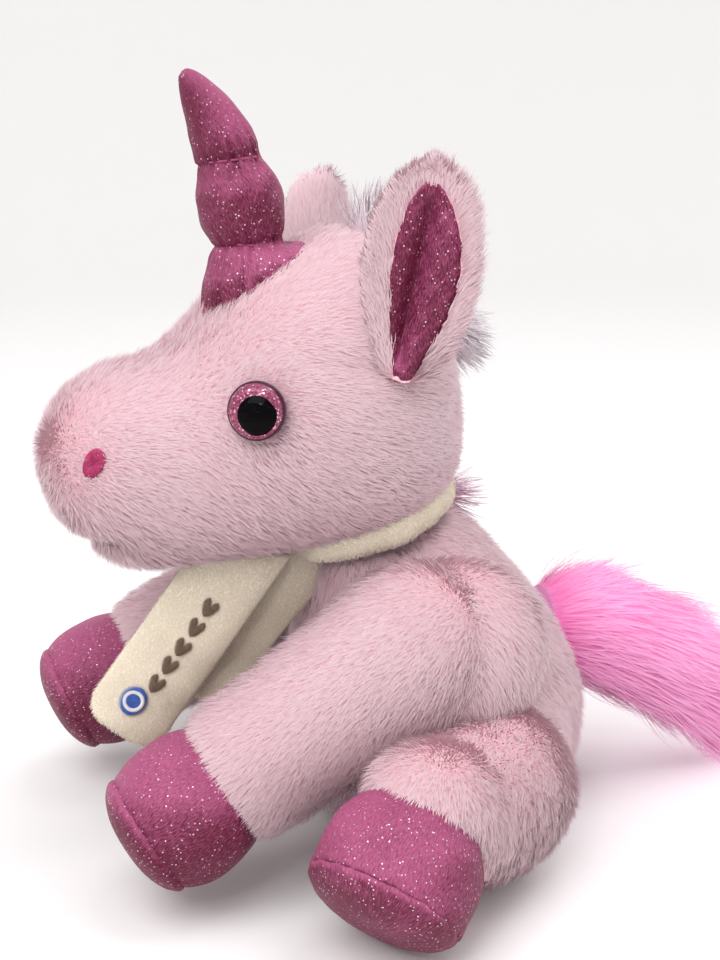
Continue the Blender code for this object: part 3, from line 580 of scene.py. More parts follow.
plushBacking = backingFinish("plushKnitBacking", "#F1C3CD", "#F7D3DA")
tailBacking = backingFinish("tailKnitBacking", "#E57FC0", "#F09FD2")
fibreWhite = backingFinish("polyesterFibreFill", "#E4E3DE", "#F4F3EF")
pelletCotton = backingFinish("cottonPelletPouch", "#D8D2C6", "#E9E4DA")


def velvetFinish(name, dark, light, glint="#FFE3F0", dots=1.0):
    # stretch velvet with foil dots: a short pile brushed this way and that, so light and dark in patches,
    # with painted light from above on top of that (paler on upward faces, deeper below), strokes 0.3 mm wide
    # along it and silver dots 0.3 mm wide, both about as fine as will show
    material, tree, shader = newMaterial(name, 0.5)
    spot = addNode(tree, "ShaderNodeTexCoord", None, "Object")
    uv = addNode(tree, "ShaderNodeUVMap", uv_map="weave")
    # painted light: the nap attribute makes the velvet paler where it faces up and deeper where it faces down
    nap = addNode(tree, "ShaderNodeAttribute", None, "Fac", attribute_name="nap")
    crush = {"Vector": spot, "Scale": 55.0, "Detail": 2.0, "Roughness": 0.5}
    crush = addNode(tree, "ShaderNodeTexNoise", crush, 0)
    crush = addNode(tree, "ShaderNodeMapRange", {0: crush, 1: 0.3, 2: 0.7, 3: -0.16, 4: 0.16}, 0)
    brushed = addNode(tree, "ShaderNodeMapping", {0: uv, "Rotation": (0, 0, 0.5), "Scale": (3.0, 0.70, 1.0)})
    strokes = addNode(tree, "ShaderNodeTexNoise", {"Vector": brushed, "Scale": 1.0, "Detail": 2.0}, 0)
    strokes = addNode(tree, "ShaderNodeMapRange", {0: strokes, 1: 0.3, 2: 0.7, 3: -0.42, 4: 0.42}, 0)
    # painted top light, crush patches and strokes together set the colour
    shade = addNode(tree, "ShaderNodeMath", {0: nap, 1: crush}, 0, operation="ADD")
    shade = addNode(tree, "ShaderNodeMath", {0: shade, 1: strokes}, 0, operation="ADD", use_clamp=True)
    cloth = addNode(tree, "ShaderNodeMix", {0: shade, 6: linear(dark), 7: linear(light)}, 2, data_type="RGBA")
    grid = addNode(tree, "ShaderNodeTexVoronoi", {"Vector": spot, "Scale": 900.0, "Randomness": 0.85})
    chosen = addNode(tree, "ShaderNodeSeparateColor", {0: grid.outputs["Color"]})
    dot = addNode(
        tree, "ShaderNodeMapRange", {0: grid.outputs["Distance"], 1: 0.16, 2: 0.22, 3: 1.0, 4: 0.0}, 0
    )
    bright = {0: chosen.outputs[0], 1: 0.30, 2: 0.90, 3: 0.0, 4: dots}
    bright = addNode(tree, "ShaderNodeMapRange", bright, 0)
    dot = addNode(tree, "ShaderNodeMath", {0: dot, 1: bright}, 0, operation="MULTIPLY")
    colour = addNode(tree, "ShaderNodeMix", {0: dot, 6: cloth, 7: linear(glint)}, 2, data_type="RGBA")
    tree.links.new(colour, shader.inputs["Base Color"])
    tree.links.new(dot, shader.inputs["Metallic"])
    rough = addNode(tree, "ShaderNodeMapRange", {0: dot, 3: 0.5, 4: 0.22}, 0)
    tree.links.new(rough, shader.inputs["Roughness"])
    bump = {"Height": strokes, "Strength": 0.6, "Distance": 0.00025}
    tree.links.new(addNode(tree, "ShaderNodeBump", bump, 0), shader.inputs["Normal"])
    shader.inputs["Specular IOR Level"].default_value = 0.25
    shader.inputs["Sheen Weight"].default_value = 0.10
    shader.inputs["Sheen Roughness"].default_value = 0.25
    shader.inputs["Sheen Tint"].default_value = linear("#FF9CC8")
    return material


velvet = velvetFinish("stretchVelvetFoilDots", "#5E122F", "#AE567F")
nostrilVelvet = velvetFinish("nostrilVelvet", "#8C1E4B", "#B9406F", dots=0.0)


def minkyFinish():
    # cream minky under its nap: mottled where the nap lies both ways
    material, tree, shader = newMaterial("creamMinkyBrushed", 0.88)
    spot = addNode(tree, "ShaderNodeTexCoord", None, "Object")
    mottle = {"Vector": spot, "Scale": 140.0, "Detail": 4.0, "Roughness": 0.65}
    mottle = addNode(tree, "ShaderNodeTexNoise", mottle, 0)
    nap = addNode(tree, "ShaderNodeTexNoise", {"Vector": spot, "Scale": 1300.0, "Detail": 2.0}, 0)
    share = addNode(tree, "ShaderNodeMapRange", {0: mottle, 1: 0.35, 2: 0.65}, 0)
    settings = {0: share, 6: linear("#DCCEB9"), 7: linear("#EEE4D4")}
    colour = addNode(tree, "ShaderNodeMix", settings, 2, data_type="RGBA")
    share = addNode(tree, "ShaderNodeMapRange", {0: nap, 1: 0.35, 2: 0.7}, 0)
    colour = addNode(tree, "ShaderNodeMix", {0: share, 6: colour, 7: linear("#F3ECDF")}, 2, data_type="RGBA")
    tree.links.new(colour, shader.inputs["Base Color"])
    height = addNode(tree, "ShaderNodeMath", {0: nap, 1: mottle}, 0, operation="ADD")
    bump = addNode(tree, "ShaderNodeBump", {"Height": height, "Strength": 0.8, "Distance": 0.0005}, 0)
    tree.links.new(bump, shader.inputs["Normal"])
    shader.inputs["Sheen Weight"].default_value = 0.6
    shader.inputs["Sheen Roughness"].default_value = 0.4
    shader.inputs["Sheen Tint"].default_value = linear("#FFF8EC")
    return material


creamMinky = minkyFinish()


def threadFinish(name, dark, light, roughness=0.38):
    # rayon embroidery thread: two plies twisted, with a silky gleam along them
    material, tree, shader = newMaterial(name, roughness)
    spot = addNode(tree, "ShaderNodeTexCoord", None, "Object")
    ply = addNode(tree, "ShaderNodeTexNoise", {"Vector": spot, "Scale": 900.0, "Detail": 2.0}, 0)
    colour = addNode(tree, "ShaderNodeMix", {0: ply, 6: linear(dark), 7: linear(light)}, 2, data_type="RGBA")
    tree.links.new(colour, shader.inputs["Base Color"])
    bump = addNode(tree, "ShaderNodeBump", {"Height": ply, "Strength": 0.5, "Distance": 0.0001}, 0)
    tree.links.new(bump, shader.inputs["Normal"])
    shader.inputs["Anisotropic"].default_value = 0.4
    shader.inputs["Sheen Weight"].default_value = 0.2
    return material


brownThread = threadFinish("brownRayonThread", "#4F3A2B", "#7D6750")
blueThread = threadFinish("blueRayonThread", "#1C4190", "#3F6FC4")
whiteThread = threadFinish("whiteRayonThread", "#E3E0DC", "#FAF8F5")
pinkThread = threadFinish("pinkSewingThread", "#8F2C58", "#B34C7A", 0.5)


def plasticFinish(name, dark, light, level, roughness):
    # moulded acrylic: smooth and hard, with the faint unevenness of its mould
    material, tree, shader = newMaterial(name, roughness, 1.49)
    spot = addNode(tree, "ShaderNodeTexCoord", None, "Object")
    flow = addNode(tree, "ShaderNodeTexNoise", {"Vector": spot, "Scale": 220.0, "Detail": 1.0}, 0)
    colour = addNode(tree, "ShaderNodeMix", {0: flow, 6: linear(dark), 7: linear(light)}, 2, data_type="RGBA")
    tree.links.new(colour, shader.inputs["Base Color"])
    shader.inputs["Specular IOR Level"].default_value = level
    return material


pupilBlack = plasticFinish("pupilAcrylic", "#030203", "#070507", 0.06, 0.06)
rimBlack = plasticFinish("eyeRimAcrylic", "#30121F", "#45203A", 0.3, 0.3)
washerWhite = plasticFinish("washerPolypropylene", "#D9D8D4", "#E6E5E2", 0.5, 0.5)


def irisFinish():
    # pink glitter lacquer behind clear acrylic: flakes 0.4 mm wide that catch the light one by one
    material, tree, shader = newMaterial("irisGlitterLacquer", 0.3, 1.49)
    spot = addNode(tree, "ShaderNodeTexCoord", None, "Object")
    flakes = addNode(tree, "ShaderNodeTexVoronoi", {"Vector": spot, "Scale": 2300.0}, "Color")
    parts = addNode(tree, "ShaderNodeSeparateColor", {0: flakes})
    settings = {0: parts.outputs[0], 6: linear("#5A1430"), 7: linear("#AC4C75")}
    body = addNode(tree, "ShaderNodeMix", settings, 2, data_type="RGBA")
    bright = addNode(tree, "ShaderNodeMath", {0: parts.outputs[1], 1: 0.90}, 0, operation="GREATER_THAN")
    colour = addNode(tree, "ShaderNodeMix", {0: bright, 6: body, 7: linear("#F7C3D6")}, 2, data_type="RGBA")
    tree.links.new(colour, shader.inputs["Base Color"])
    metal = addNode(tree, "ShaderNodeMapRange", {0: bright, 3: 0.2, 4: 0.9}, 0)
    tree.links.new(metal, shader.inputs["Metallic"])
    bump = addNode(
        tree, "ShaderNodeBump", {"Height": parts.outputs[2], "Strength": 0.6, "Distance": 0.0002}, 0
    )
    tree.links.new(bump, shader.inputs["Normal"])
    shader.inputs["Coat Weight"].default_value = 0.4
    shader.inputs["Coat Roughness"].default_value = 0.02
    return material


irisGlitter = irisFinish()
print("unicorn: finishes are made")

# skins: fur stands about 3.6 mm off each, so that the two together have the toy's outline

headShape = {
    "furRise": 3.6,
    # y from the nose back, then underside, top, half width and the widest height
    "sections": [
        (-122.3, 115, 122, 4, 119),
        (-120.2, 107, 131, 16, 119),
        (-115.5, 99, 139.5, 26, 118),
        (-107.0, 91, 146, 32, 117),
        (-97.0, 86, 149.5, 34.5, 116),
        (-86.0, 85, 151.0, 36, 117),
        (-76.0, 86, 157.5, 39.5, 121),
        (-66.0, 87, 167, 43.5, 126),
        (-54.0, 88, 177, 47.5, 130),
        (-40.0, 89, 183, 50, 133),
        (-26.0, 90, 186, 50, 134),
        (-13.0, 93, 181, 45, 134),
        (-3.0, 98, 168, 36, 131),
        (5.0, 106, 148, 22, 126),
        (8.5, 119, 129, 6, 124),
    ],
    "mouth": [(-20, -100, 100), (-10, -106.5, 97.5), (0, -108, 97), (10, -106.5, 97.5), (20, -100, 100)],
    "mouthDepth": 0.0044,
    "perSquareMetre": 4.0e6,
}
eyeSpots, nostrilSpots = {}, {}
for side in sides:
    washer = places(frame["nodes"][f"eye_washer_{side}"])
    middle = washer.mean(0)
    axis = np.linalg.svd(washer - middle, full_matrices=False)[2][2]
    axis *= math.copysign(1, axis[0] * sides[side])
    dome = places(frame["nodes"][f"eye_{side}"])
    eyeSpots[side] = (middle + axis * ((dome - middle) @ axis).max(), axis)
    low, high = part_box(f"nostril_{side}")
    nostrilSpots[side] = np.array((low + high) / 2) + np.array([0, -0.0015, 0])


def shrunk(stations, by):
    # the same sections drawn in by the height of the pile
    first, span = stations[0][0], stations[-1][0] - stations[0][0]
    drawn = []
    for place, low, high, half, middle in stations:
        place = first + by + (place - first) * (span - 2 * by) / span
        drawn.append(
            (place, min(low + by, middle - 0.5), max(high - by, middle + 0.5), max(half - by, 1.5), middle)
        )
    return drawn


head = together("head_skin_sewn", [sectionShape(shrunk(headShape["sections"], headShape["furRise"]), "y")])


def headSeams(points):
    # the middle seam over the brow and under the chin, and the one that runs forward from each ear
    mirrored = np.c_[np.abs(points[:, 0]), points[:, 1:]]
    middle = np.where(points[:, 1] > -0.100, np.abs(points[:, 0]), 1.0)
    ear = onSeam(mirrored, [(44, -30, 150), (45, -46, 153), (44, -62, 154), (40, -74, 152)])
    return np.minimum(middle + 0.0012, ear)


stuffed(head, held=lambda p: headSeams(p) < 0.0026)
p, n = places(head), normals(head)
mirrored = np.c_[np.abs(p[:, 0]), p[:, 1:]]
eyeFar = np.linalg.norm(mirrored - eyeSpots["left"][0], axis=1)
nostrilFar = np.linalg.norm(mirrored - nostrilSpots["left"], axis=1)
mouthFar = onSeam(p, headShape["mouth"])
dent = 0.0030 * (1 - fade(eyeFar, 0.005, 0.014)) + 0.0016 * (1 - fade(nostrilFar, 0.002, 0.008))
dent += headShape["mouthDepth"] * (1 - fade(mouthFar, 0.0008, 0.0075))
dent += 0.0014 * (1 - fade(headSeams(p), 0.0005, 0.006))
move(head, p - n * dent[:, None])
ease(head, 1)
print("unicorn: head skin is sewn")

torsoShape = {
    "furRise": 3.6,
    # z from the seat up, then front, back, half width and the widest place
    "sections": [
        (0.0, -34, 38, 34, 3),
        (5.0, -43, 45, 41, 3),
        (16.0, -47, 49.5, 44, 3),
        (31.0, -47, 51, 45.5, 3),
        (46.0, -45, 48.5, 45.5, 1),
        (58.0, -44, 43, 44, -3),
        (70.0, -44, 35, 43, -8),
        (82.0, -43, 26, 38, -12),
        (92.0, -40, 18, 31, -14),
        (101.0, -34, 8, 21, -15),
        (106.0, -26, -2, 10, -15),
    ],
    # shoulders and hips: centre and radii, on both sides
    "mounds": [((41, -5, 66), (25, 26, 25)), ((36, 8, 28), (25, 23, 22))],
    "perSquareMetre": 3.2e6,
}
shapes = [sectionShape(shrunk(torsoShape["sections"], torsoShape["furRise"]), "z")]
for centre, radii in torsoShape["mounds"]:
    shapes += [ballShape((centre[0] * sign, *centre[1:]), radii) for sign in sides.values()]
torso = together("torso_skin_sewn", shapes)


def torsoSeams(points):
    # one seam down the middle of the back, one down each flank
    flank = np.abs(points[:, 1] - 0.004) + np.where(points[:, 2] < 0.05, 0, 1)
    back = np.abs(points[:, 0]) + np.where(points[:, 1] > 0, 0, 1)
    return np.minimum(flank + 0.001, back)


stuffed(torso, held=lambda p: (torsoSeams(p) < 0.0024) | (p[:, 2] < 0.006))
ease(torso, 14)
p = places(torso)
p[:, 2] = np.maximum(p[:, 2], 0.0012)
p -= normals(torso) * (0.0013 * (1 - fade(torsoSeams(p), 0.0004, 0.006)))[:, None]
move(torso, p)
ease(torso, 1)
print("unicorn: torso skin is sewn")

# limbs: each runs from its joint to its hoof's middle, along the hoof's own direction at the end
limbShapes = {
    # distance to the cuff's middle from the sole, how far the thigh's middle leads its joint, and a drop
    "arm": {"depth": 31.5, "lead": (0, 0, 0)},
    "leg": {"depth": 29.5, "lead": (0, -8, 1)},
}
limbs = {}
for side in sides:
    for kind, joint in (("arm", f"arm_{side}_swing"), ("leg", f"leg_{side}_spread")):
        pivot = np.array([j for j in frame["joints"] if j["name"] == joint][0]["pos_m"]) / mm
        hoof = f"{'front' if kind == 'arm' else 'hind'}_hoof_{side}"
        low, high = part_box(f"{hoof}_pouch")
        sole = places(frame["nodes"][f"{hoof}_sole"]) / mm
        way = np.linalg.svd(sole - sole.mean(0), full_matrices=False)[2][2]
        way *= math.copysign(1, way @ (sole.mean(0) - np.array((low + high) / 2) / mm))
        cuff = sole.mean(0) - way * limbShapes[kind]["depth"]
        start = pivot + np.array(limbShapes[kind]["lead"])
        limbs[kind, side] = {"start": start, "cuff": cuff, "way": way, "hoof": hoof}
        print("unicorn:", kind, side, "cuff", cuff.round(1), "way", way.round(3))

limbSkins = {}
for (kind, side), limb in limbs.items():
    start, cuff, way = limb["start"], limb["cuff"], limb["way"]
    span = np.linalg.norm(cuff - start)
    if kind == "arm":
        line = unit(cuff - start)
        rows = [(-17, 9), (-11, 18.0), (0, 22.8), (0.35 * span, 21.8), (0.7 * span, 20.0), (span - 3, 18.6)]
        stations = [(*(start + line * t), r) for t, r in rows]
    else:
        level = (cuff - start) * (1, 1, 0) / span
        rows = [(-17, 9, 0), (-11, 18.0, 0), (0, 23.0, 0), (0.4 * span, 22.8, 0.1), (0.75 * span, 20.4, 0.45)]
        stations = [(*(start + level * t + up * s * (cuff - start)[2]), r) for t, r, s in rows]
        stations += [(*(cuff - way * 2), 18.4)]
    stations += [(*(cuff + way * 3.5), 15.4), (*(cuff + way * 6), 10.5)]
    skin = together(f"{kind}_{side}_skin_sewn", [limbShape(stations)])
    stuffed(skin, voxel=0.0038, cap=0.0014, pressure=2.0)
    p = places(skin)
    if kind == "leg":
        p[:, 2] = np.maximum(p[:, 2], 0.0022)
        move(skin, p)
    limbSkins[kind, side] = skin
print("unicorn: limbs are sewn")

# combing: which way the pile lies, how long it is, how deep its pink


def combed(thing, way, length, tone, density):
    out = normals(thing)
    way = np.broadcast_to(np.asarray(way, float), out.shape)
    lying = way - out * (way * out).sum(1)[:, None]
    size = np.linalg.norm(lying, axis=1)[:, None]
    keep(thing, "comb", "FLOAT_VECTOR", lying / np.maximum(size, 0.12))
    keep(thing, "pileLength", "FLOAT", length)
    keep(thing, "pileTone", "FLOAT", tone)
    keep(thing, "pileDensity", "FLOAT", density)


def uncovered(points, thing):
    # the share of the pile that is kept: nearly none where a skin lies inside its neighbour
    return 1 - 0.95 * fade(depthIn(points, thing), 0.0020, 0.0042)


def partings(points, perMetre=95.0):
    # soft patches of deeper and paler pink, from crossing waves
    first = 2.0 * np.sin(points @ np.array([0.2, -0.7, 0.8]) * perMetre * 0.6)
    second = 1.7 * np.sin(points @ np.array([0.9, 0.1, -0.5]) * perMetre * 0.7)
    a = np.sin(points @ np.array([0.9, 0.5, 0.3]) * perMetre + first)
    b = np.sin(points @ np.array([-0.4, 0.8, 0.6]) * perMetre * 0.8 + second)
    return 0.5 + 0.25 * (a + b)


pileShape = {
    "length": 0.0060,
    # how pale the pile is, and how much the patches change that
    "tone": 0.72,
    "patches": 0.32,
    "limbsPerSquareMetre": 4.0e6,
}
furLook = {
    "width": 0.00036,
    "lift": 0.58,
    "clump": 0.6,
    "clumpsPerMetre": 170.0,
    "stray": 0.22,
    "sway": 0.0018,
    "swaysPerMetre": 300.0,
    "spread": 0.25,
}


def furOn(name, skin, perSquareMetre, seed, part=None, finish=plushPile, **changes):
    look = {**furLook, **changes, "perSquareMetre": perSquareMetre}
    return pile(name, skin, finish, shortStrands, look, seed, part)


p, n = places(head), normals(head)
mirrored = np.c_[np.abs(p[:, 0]), p[:, 1:]]
eyeFar = np.linalg.norm(mirrored - eyeSpots["left"][0], axis=1)
nostrilFar = np.linalg.norm((mirrored - nostrilSpots["left"]) * (0.7, 1, 1), axis=1)
fromHorn = p - np.array([0, -0.0505, 0.1550])
hornFar = np.linalg.norm(
    fromHorn - np.outer(fromHorn @ unit([0, -0.14, 0.99]), unit([0, -0.14, 0.99])), axis=1
)
hornFar += np.where(p[:, 2] > 0.140, 0, 1)
mouthFar, seamFar = onSeam(p, headShape["mouth"]), headSeams(p)
swirl = mirrored - eyeSpots["left"][0]
way = np.tile([0.0, 1.0, -0.30], (len(p), 1))
way += np.c_[swirl[:, 0] * np.sign(p[:, 0]), swirl[:, 1:]] / 0.012 * (1 - fade(eyeFar, 0.006, 0.022))[:, None]
length = pileShape["length"] * (0.55 + 0.45 * fade(eyeFar, 0.007, 0.018))
length *= 0.5 + 0.5 * fade(nostrilFar, 0.003, 0.010)
length *= (0.68 + 0.32 * fade(p[:, 1], -0.118, -0.095)) * (0.8 + 0.2 * fade(seamFar, 0.0, 0.005))
length *= 0.5 + 0.5 * fade(hornFar, 0.0150, 0.0220)
tone = pileShape["tone"] + pileShape["patches"] * partings(p)
# painted shade: the pile is made deeper pink along the seams and round the mouth, eyes and nostrils, where
# the skin dips in
tone -= 0.45 * (1 - fade(seamFar, 0.0005, 0.006)) + 0.25 * (1 - fade(mouthFar, 0.001, 0.006))
tone -= 0.30 * (1 - fade(eyeFar, 0.007, 0.013)) + 0.5 * (1 - fade(nostrilFar, 0.003, 0.010))
density = fade(eyeFar, 0.0066, 0.0078) * fade(nostrilFar, 0.0030, 0.0042) * fade(hornFar, 0.0135, 0.0155)
combed(head, way, length, tone, density)

p, n = places(torso), normals(torso)
fromNeck = (p - [0, -0.02, 0]) * (1, 1, 0)
fromNeck /= np.maximum(np.linalg.norm(fromNeck, axis=1), 0.004)[:, None]
way = np.array([0.0, 0.25, -1.0]) + 1.3 * fromNeck * fade(p[:, 2], 0.050, 0.085)[:, None]
# painted shade: the pile is made deeper pink along the seams, where the skin is drawn in
tone = pileShape["tone"] + pileShape["patches"] * partings(p) - 0.3 * (1 - fade(torsoSeams(p), 0.0005, 0.006))
length = pileShape["length"] * (0.5 + 0.5 * fade(p[:, 2], 0.001, 0.010))
hidden = (np.abs(p[:, 0]) < 0.022) & (p[:, 2] > 0.090) & (p[:, 1] < -0.008)
density = np.where(hidden | (n[:, 2] < -0.9), 0.15, 1.0)
for skin in limbSkins.values():
    density *= uncovered(p, skin)
combed(torso, way, length, tone, density)

for (kind, side), skin in limbSkins.items():
    limb = limbs[kind, side]
    p, n = places(skin), normals(skin)
    line = limb["cuff"] - limb["start"]
    along = ((p / mm - limb["start"]) @ unit(line)) / np.linalg.norm(line)
    pastCuff = (p / mm - limb["cuff"]) @ limb["way"]
    bent = fade(along, 0.6, 1.0)[:, None]
    way = unit(line) * (1 - bent) + limb["way"] * bent - (0.2 if kind == "arm" else 0.9) * up
    length = pileShape["length"] * (1 - 0.25 * fade(pastCuff, -6, 1))
    tone = pileShape["tone"] + pileShape["patches"] * partings(p + sides[side] * 0.013)
    density = (1 - fade(pastCuff, 0.0, 2.0)) * uncovered(p, torso)
    combed(skin, way, length, tone, density * np.where(n[:, 2] < -0.97, 0.5, 1.0))

halves = {"left": lambda q: q[:, 0] >= 0, "right": lambda q: q[:, 0] < 0}
for body, skin, shape, seed in (("head", head, headShape, 11), ("torso", torso, torsoShape, 21)):
    for n, (label, part) in enumerate(halves.items()):
        fur = furOn(f"{body}_pile_{label}", skin, shape["perSquareMetre"], seed + n, part)
        ready(fur, "plush", body)
    ready(skin, "plush", body, f"{body}_skin", f"{body}_fill", material=plushBacking)
for n, ((kind, side), skin) in enumerate(limbSkins.items()):
    body = f"{kind}_{side}"
    fur = furOn(f"{body}_pile", skin, pileShape["limbsPerSquareMetre"], 31 + n)
    ready(fur, "plush", body)
    ready(skin, "plush", body, f"{body}_skin", f"{body}_fill", material=plushBacking)
print("unicorn: short pile is set")

# stitches: threads set on marked points by Geometry Nodes

def threadShape():
    # one stitch, a metre long and wide: a bowed capsule with a few dozen faces
    rings, around = 7, 6
    points = []
    for r in range(rings):
        t = r / (rings - 1)
        fat = math.sqrt(max(1 - (2 * t - 1) ** 4, 0.02))
        for k in range(around):
            a = 2 * math.pi * k / around
            points.append((t - 0.5, fat * math.cos(a), fat * math.sin(a) + 0.7 * math.sin(math.pi * t)))
    stitch = meshObject("stitch", points, ringFaces(rings, around))
    bpy.context.scene.collection.objects.unlink(stitch)
    return stitch


def threadTree():
    tree = bpy.data.node_groups.new("threads on points", "GeometryNodeTree")
    face = tree.interface
    face.new_socket("Geometry", in_out="INPUT", socket_type="NodeSocketGeometry")
    face.new_socket("Geometry", in_out="OUTPUT", socket_type="NodeSocketGeometry")
    kinds = {"stitch": "NodeSocketObject", "finish": "NodeSocketMaterial", "thread": "NodeSocketFloat"}
    for name, kind in kinds.items():
        face.new_socket(name, in_out="INPUT", socket_type=kind)
    given = addNode(tree, "NodeGroupInput").outputs
    read = {}
    for name, kind in (("along", "FLOAT_VECTOR"), ("outward", "FLOAT_VECTOR"), ("span", "FLOAT")):
        read[name] = addNode(
            tree, "GeometryNodeInputNamedAttribute", {"Name": name}, "Attribute", data_type=kind
        )
    turned = addNode(tree, "FunctionNodeAlignRotationToVector", {"Vector": read["along"]}, axis="X")
    aim = {"Rotation": turned, "Vector": read["outward"]}
    turned = addNode(tree, "FunctionNodeAlignRotationToVector", aim, axis="Z", pivot_axis="X")
    size = addNode(tree, "ShaderNodeCombineXYZ", {0: read["span"], 1: given["thread"], 2: given["thread"]})
    shape = {"Object": given["stitch"], "As Instance": True}
    shape = addNode(tree, "GeometryNodeObjectInfo", shape, "Geometry")
    settings = {"Points": given["Geometry"], "Instance": shape, "Rotation": turned, "Scale": size}
    real = addNode(tree, "GeometryNodeInstanceOnPoints", settings)
    real = addNode(tree, "GeometryNodeRealizeInstances", {"Geometry": real})
    real = addNode(tree, "GeometryNodeSetMaterial", {"Geometry": real, "Material": given["finish"]})
    addNode(tree, "NodeGroupOutput", {0: real})
    return tree


stitchShape = threadShape()
threadNodes = threadTree()


def threads(name, spots, along, outward, span, thread, finish):
    mesh = bpy.data.meshes.new(name)
    mesh.from_pydata([tuple(q) for q in spots], [], [])
    thing = bpy.data.objects.new(name, mesh)
    bpy.context.scene.collection.objects.link(thing)
    keep(thing, "along", "FLOAT_VECTOR", along)
    keep(thing, "outward", "FLOAT_VECTOR", outward)
    keep(thing, "span", "FLOAT", span)
    modifier = thing.modifiers.new("threads", "NODES")
    modifier.node_group = threadNodes
    values = {"stitch": stitchShape, "finish": finish, "thread": thread}
    for item in threadNodes.interface.items_tree:
        if item.in_out == "INPUT" and item.name in values:
            modifier[item.identifier] = values[item.name]
    baked(thing)
    for label in ("along", "outward", "span"):
        if label in thing.data.attributes:
            thing.data.attributes.remove(thing.data.attributes[label])
    thing.data.materials.clear()
    thing.data.materials.append(finish)
    thing.data.polygons.foreach_set("material_index", np.zeros(len(thing.data.polygons), np.int32))
    thing.data.shade_smooth()
    return thing


def turnedShape(name, origin, way, side, stations, around, shape=None):
    # a closed body turned about a line; stations are distance and radius in millimetres, and shape may
    # change the radius by its place; the weave map holds millimetres round and along
    origin, way, side = np.asarray(origin, float), unit(way), unit(side)
    side = unit(side - way * (side @ way))
    other = np.cross(way, side)
    stations = np.array(stations, float)
    rings = len(stations)
    angles = np.linspace(0, 2 * math.pi, around, endpoint=False)
    points = []
    for t, r in stations:
        radius = r * (shape(t, angles) if shape else np.ones(around))
        for a, q in zip(angles, radius):
            points.append((origin + way * t + q * (math.cos(a) * side + math.sin(a) * other)) * mm)
    thing = meshObject(name, points, ringFaces(rings, around))
    return weaveMap(thing, origin * mm, way, side, other)


def brushed(thing):
    # painted light on the velvet, kept as its nap attribute: pale where it faces up, deep where it hangs over
    # or under, as light from above falls on it
    keep(thing, "nap", "FLOAT", 0.08 + 0.80 * fade(normals(thing)[:, 2], -0.25, 0.85))
    return thing


def weaveMap(thing, origin, way, side, other):
    # the weave's own map, in millimetres: round the line and along it
    # painted light first: the velvet's nap attribute, paler where it faces up, deeper below
    brushed(thing)
    p = places(thing) - np.asarray(origin)
    angle = np.arctan2(p @ other, p @ side)
    radius = np.sqrt((p @ other) ** 2 + (p @ side) ** 2)
    mid = np.percentile(radius, 70)
    layer = thing.data.uv_layers.new(name="weave")
    flat = np.empty((len(thing.data.loops), 2), np.float32)
    for face in thing.data.polygons:
        turn = angle[list(face.vertices)]
        if turn.max() - turn.min() > math.pi:
            turn = np.where(turn < 0, turn + 2 * math.pi, turn)
        for k, (loop, vertex) in enumerate(zip(face.loop_indices, face.vertices)):
            flat[loop] = (turn[k] * mid / mm, (p[vertex] @ way) / mm)
    layer.uv.foreach_set("vector", flat.ravel())
    return thing


# hooves: velvet caps over the ends of the limbs, each with a puffed sole sewn into its end

hoofShapes = {
    "arm": {
        "cap": [
            (-2.0, 15.0), (0.5, 17.8), (3, 19.2), (8, 20.6),
            (14, 21.0), (19, 20.4), (22.5, 19.2), (24.8, 18.0),
            (25.2, 17.2), (24.6, 15.0),
        ],
        "sole": [
            (23.0, 15.0), (24.2, 17.0), (25.6, 18.0), (27.4, 17.6), (30.0, 14.6), (32.2, 8.8), (33.0, 0.8)
        ],
        "seam": (25.2, 17.8),
        "rows": (64, 40),
    },
    "leg": {
        "cap": [
            (-2.0, 14.6), (0.5, 17.4), (3, 19.2), (8, 21.6), (14, 22.4), (19, 22.4), (22, 22.3), (23.8, 22.0),
            (24.2, 21.2), (23.6, 19.0),
        ],
        "sole": [
            (22.2, 19.0), (23.4, 21.2), (24.8, 21.8), (26.6, 20.9), (29.6, 17.2), (31.8, 10.4), (32.6, 0.8)
        ],
        "seam": (24.3, 21.9),
        "rows": (64, 40),
    },
}
for (kind, side), limb in limbs.items():
    shape = hoofShapes[kind]
    cuff, way, hoof = limb["cuff"], limb["way"], limb["hoof"]
    seed = 1.3 * len(side) + (2.1 if kind == "arm" else 0.4)

    def puckered(t, a, seed=seed, seamAt=shape["seam"][0]):
        # small gathers where the cap is eased into the sole's seam and the cuff's
        edge = np.exp(-(((t - seamAt) / 3.0) ** 2)) + 0.6 * np.exp(-(((t - 0.5) / 3.0) ** 2))
        folds = np.sin(19 * a + seed + 1.4 * np.sin(3 * a)) + 0.6 * np.sin(31 * a + 2 * seed)
        body = 0.012 * np.sin(3 * a + seed + 0.12 * t) + 0.007 * np.sin(7 * a - 0.3 * t)
        return 1 + 0.0095 * edge * folds + body

    rows = spread(np.arange(len(shape["cap"])), shape["cap"], shape["rows"][0])
    cap = turnedShape(hoof + "_cap", cuff, way, up, rows, 112, puckered)
    ready(cap, "velvet", f"{kind}_{side}", hoof, material=velvet)
    rows = spread(np.arange(len(shape["sole"])), shape["sole"], shape["rows"][1])
    sole = turnedShape(
        hoof + "_sole_panel", cuff, way, up, rows, 96, lambda t, a: 1 + 0.007 * np.sin(17 * a + t)
    )
    ready(sole, "velvet", f"{kind}_{side}", hoof + "_sole", hoof + "_pouch", material=velvet)
    t, r = shape["seam"]
    first = unit(up - way * (up @ way))
    second = np.cross(way, first)
    count = int(2 * math.pi * r / 2.3)
    angles = np.linspace(0, 2 * math.pi, count, endpoint=False)
    around = [math.cos(a) * first + math.sin(a) * second for a in angles]
    ahead = [-math.sin(a) * first + math.cos(a) * second for a in angles]
    spots = [(cuff + way * t + q * (r - 0.75)) * mm for q in around]
    seam = threads(hoof + "_seam", spots, ahead, around, [0.0015] * count, 0.0002, pinkThread)
    ready(seam, "stitching", f"{kind}_{side}")
print("unicorn: hooves are sewn")

# horn: a gathered velvet cone in three puffs, its skirt sewn down on the brow

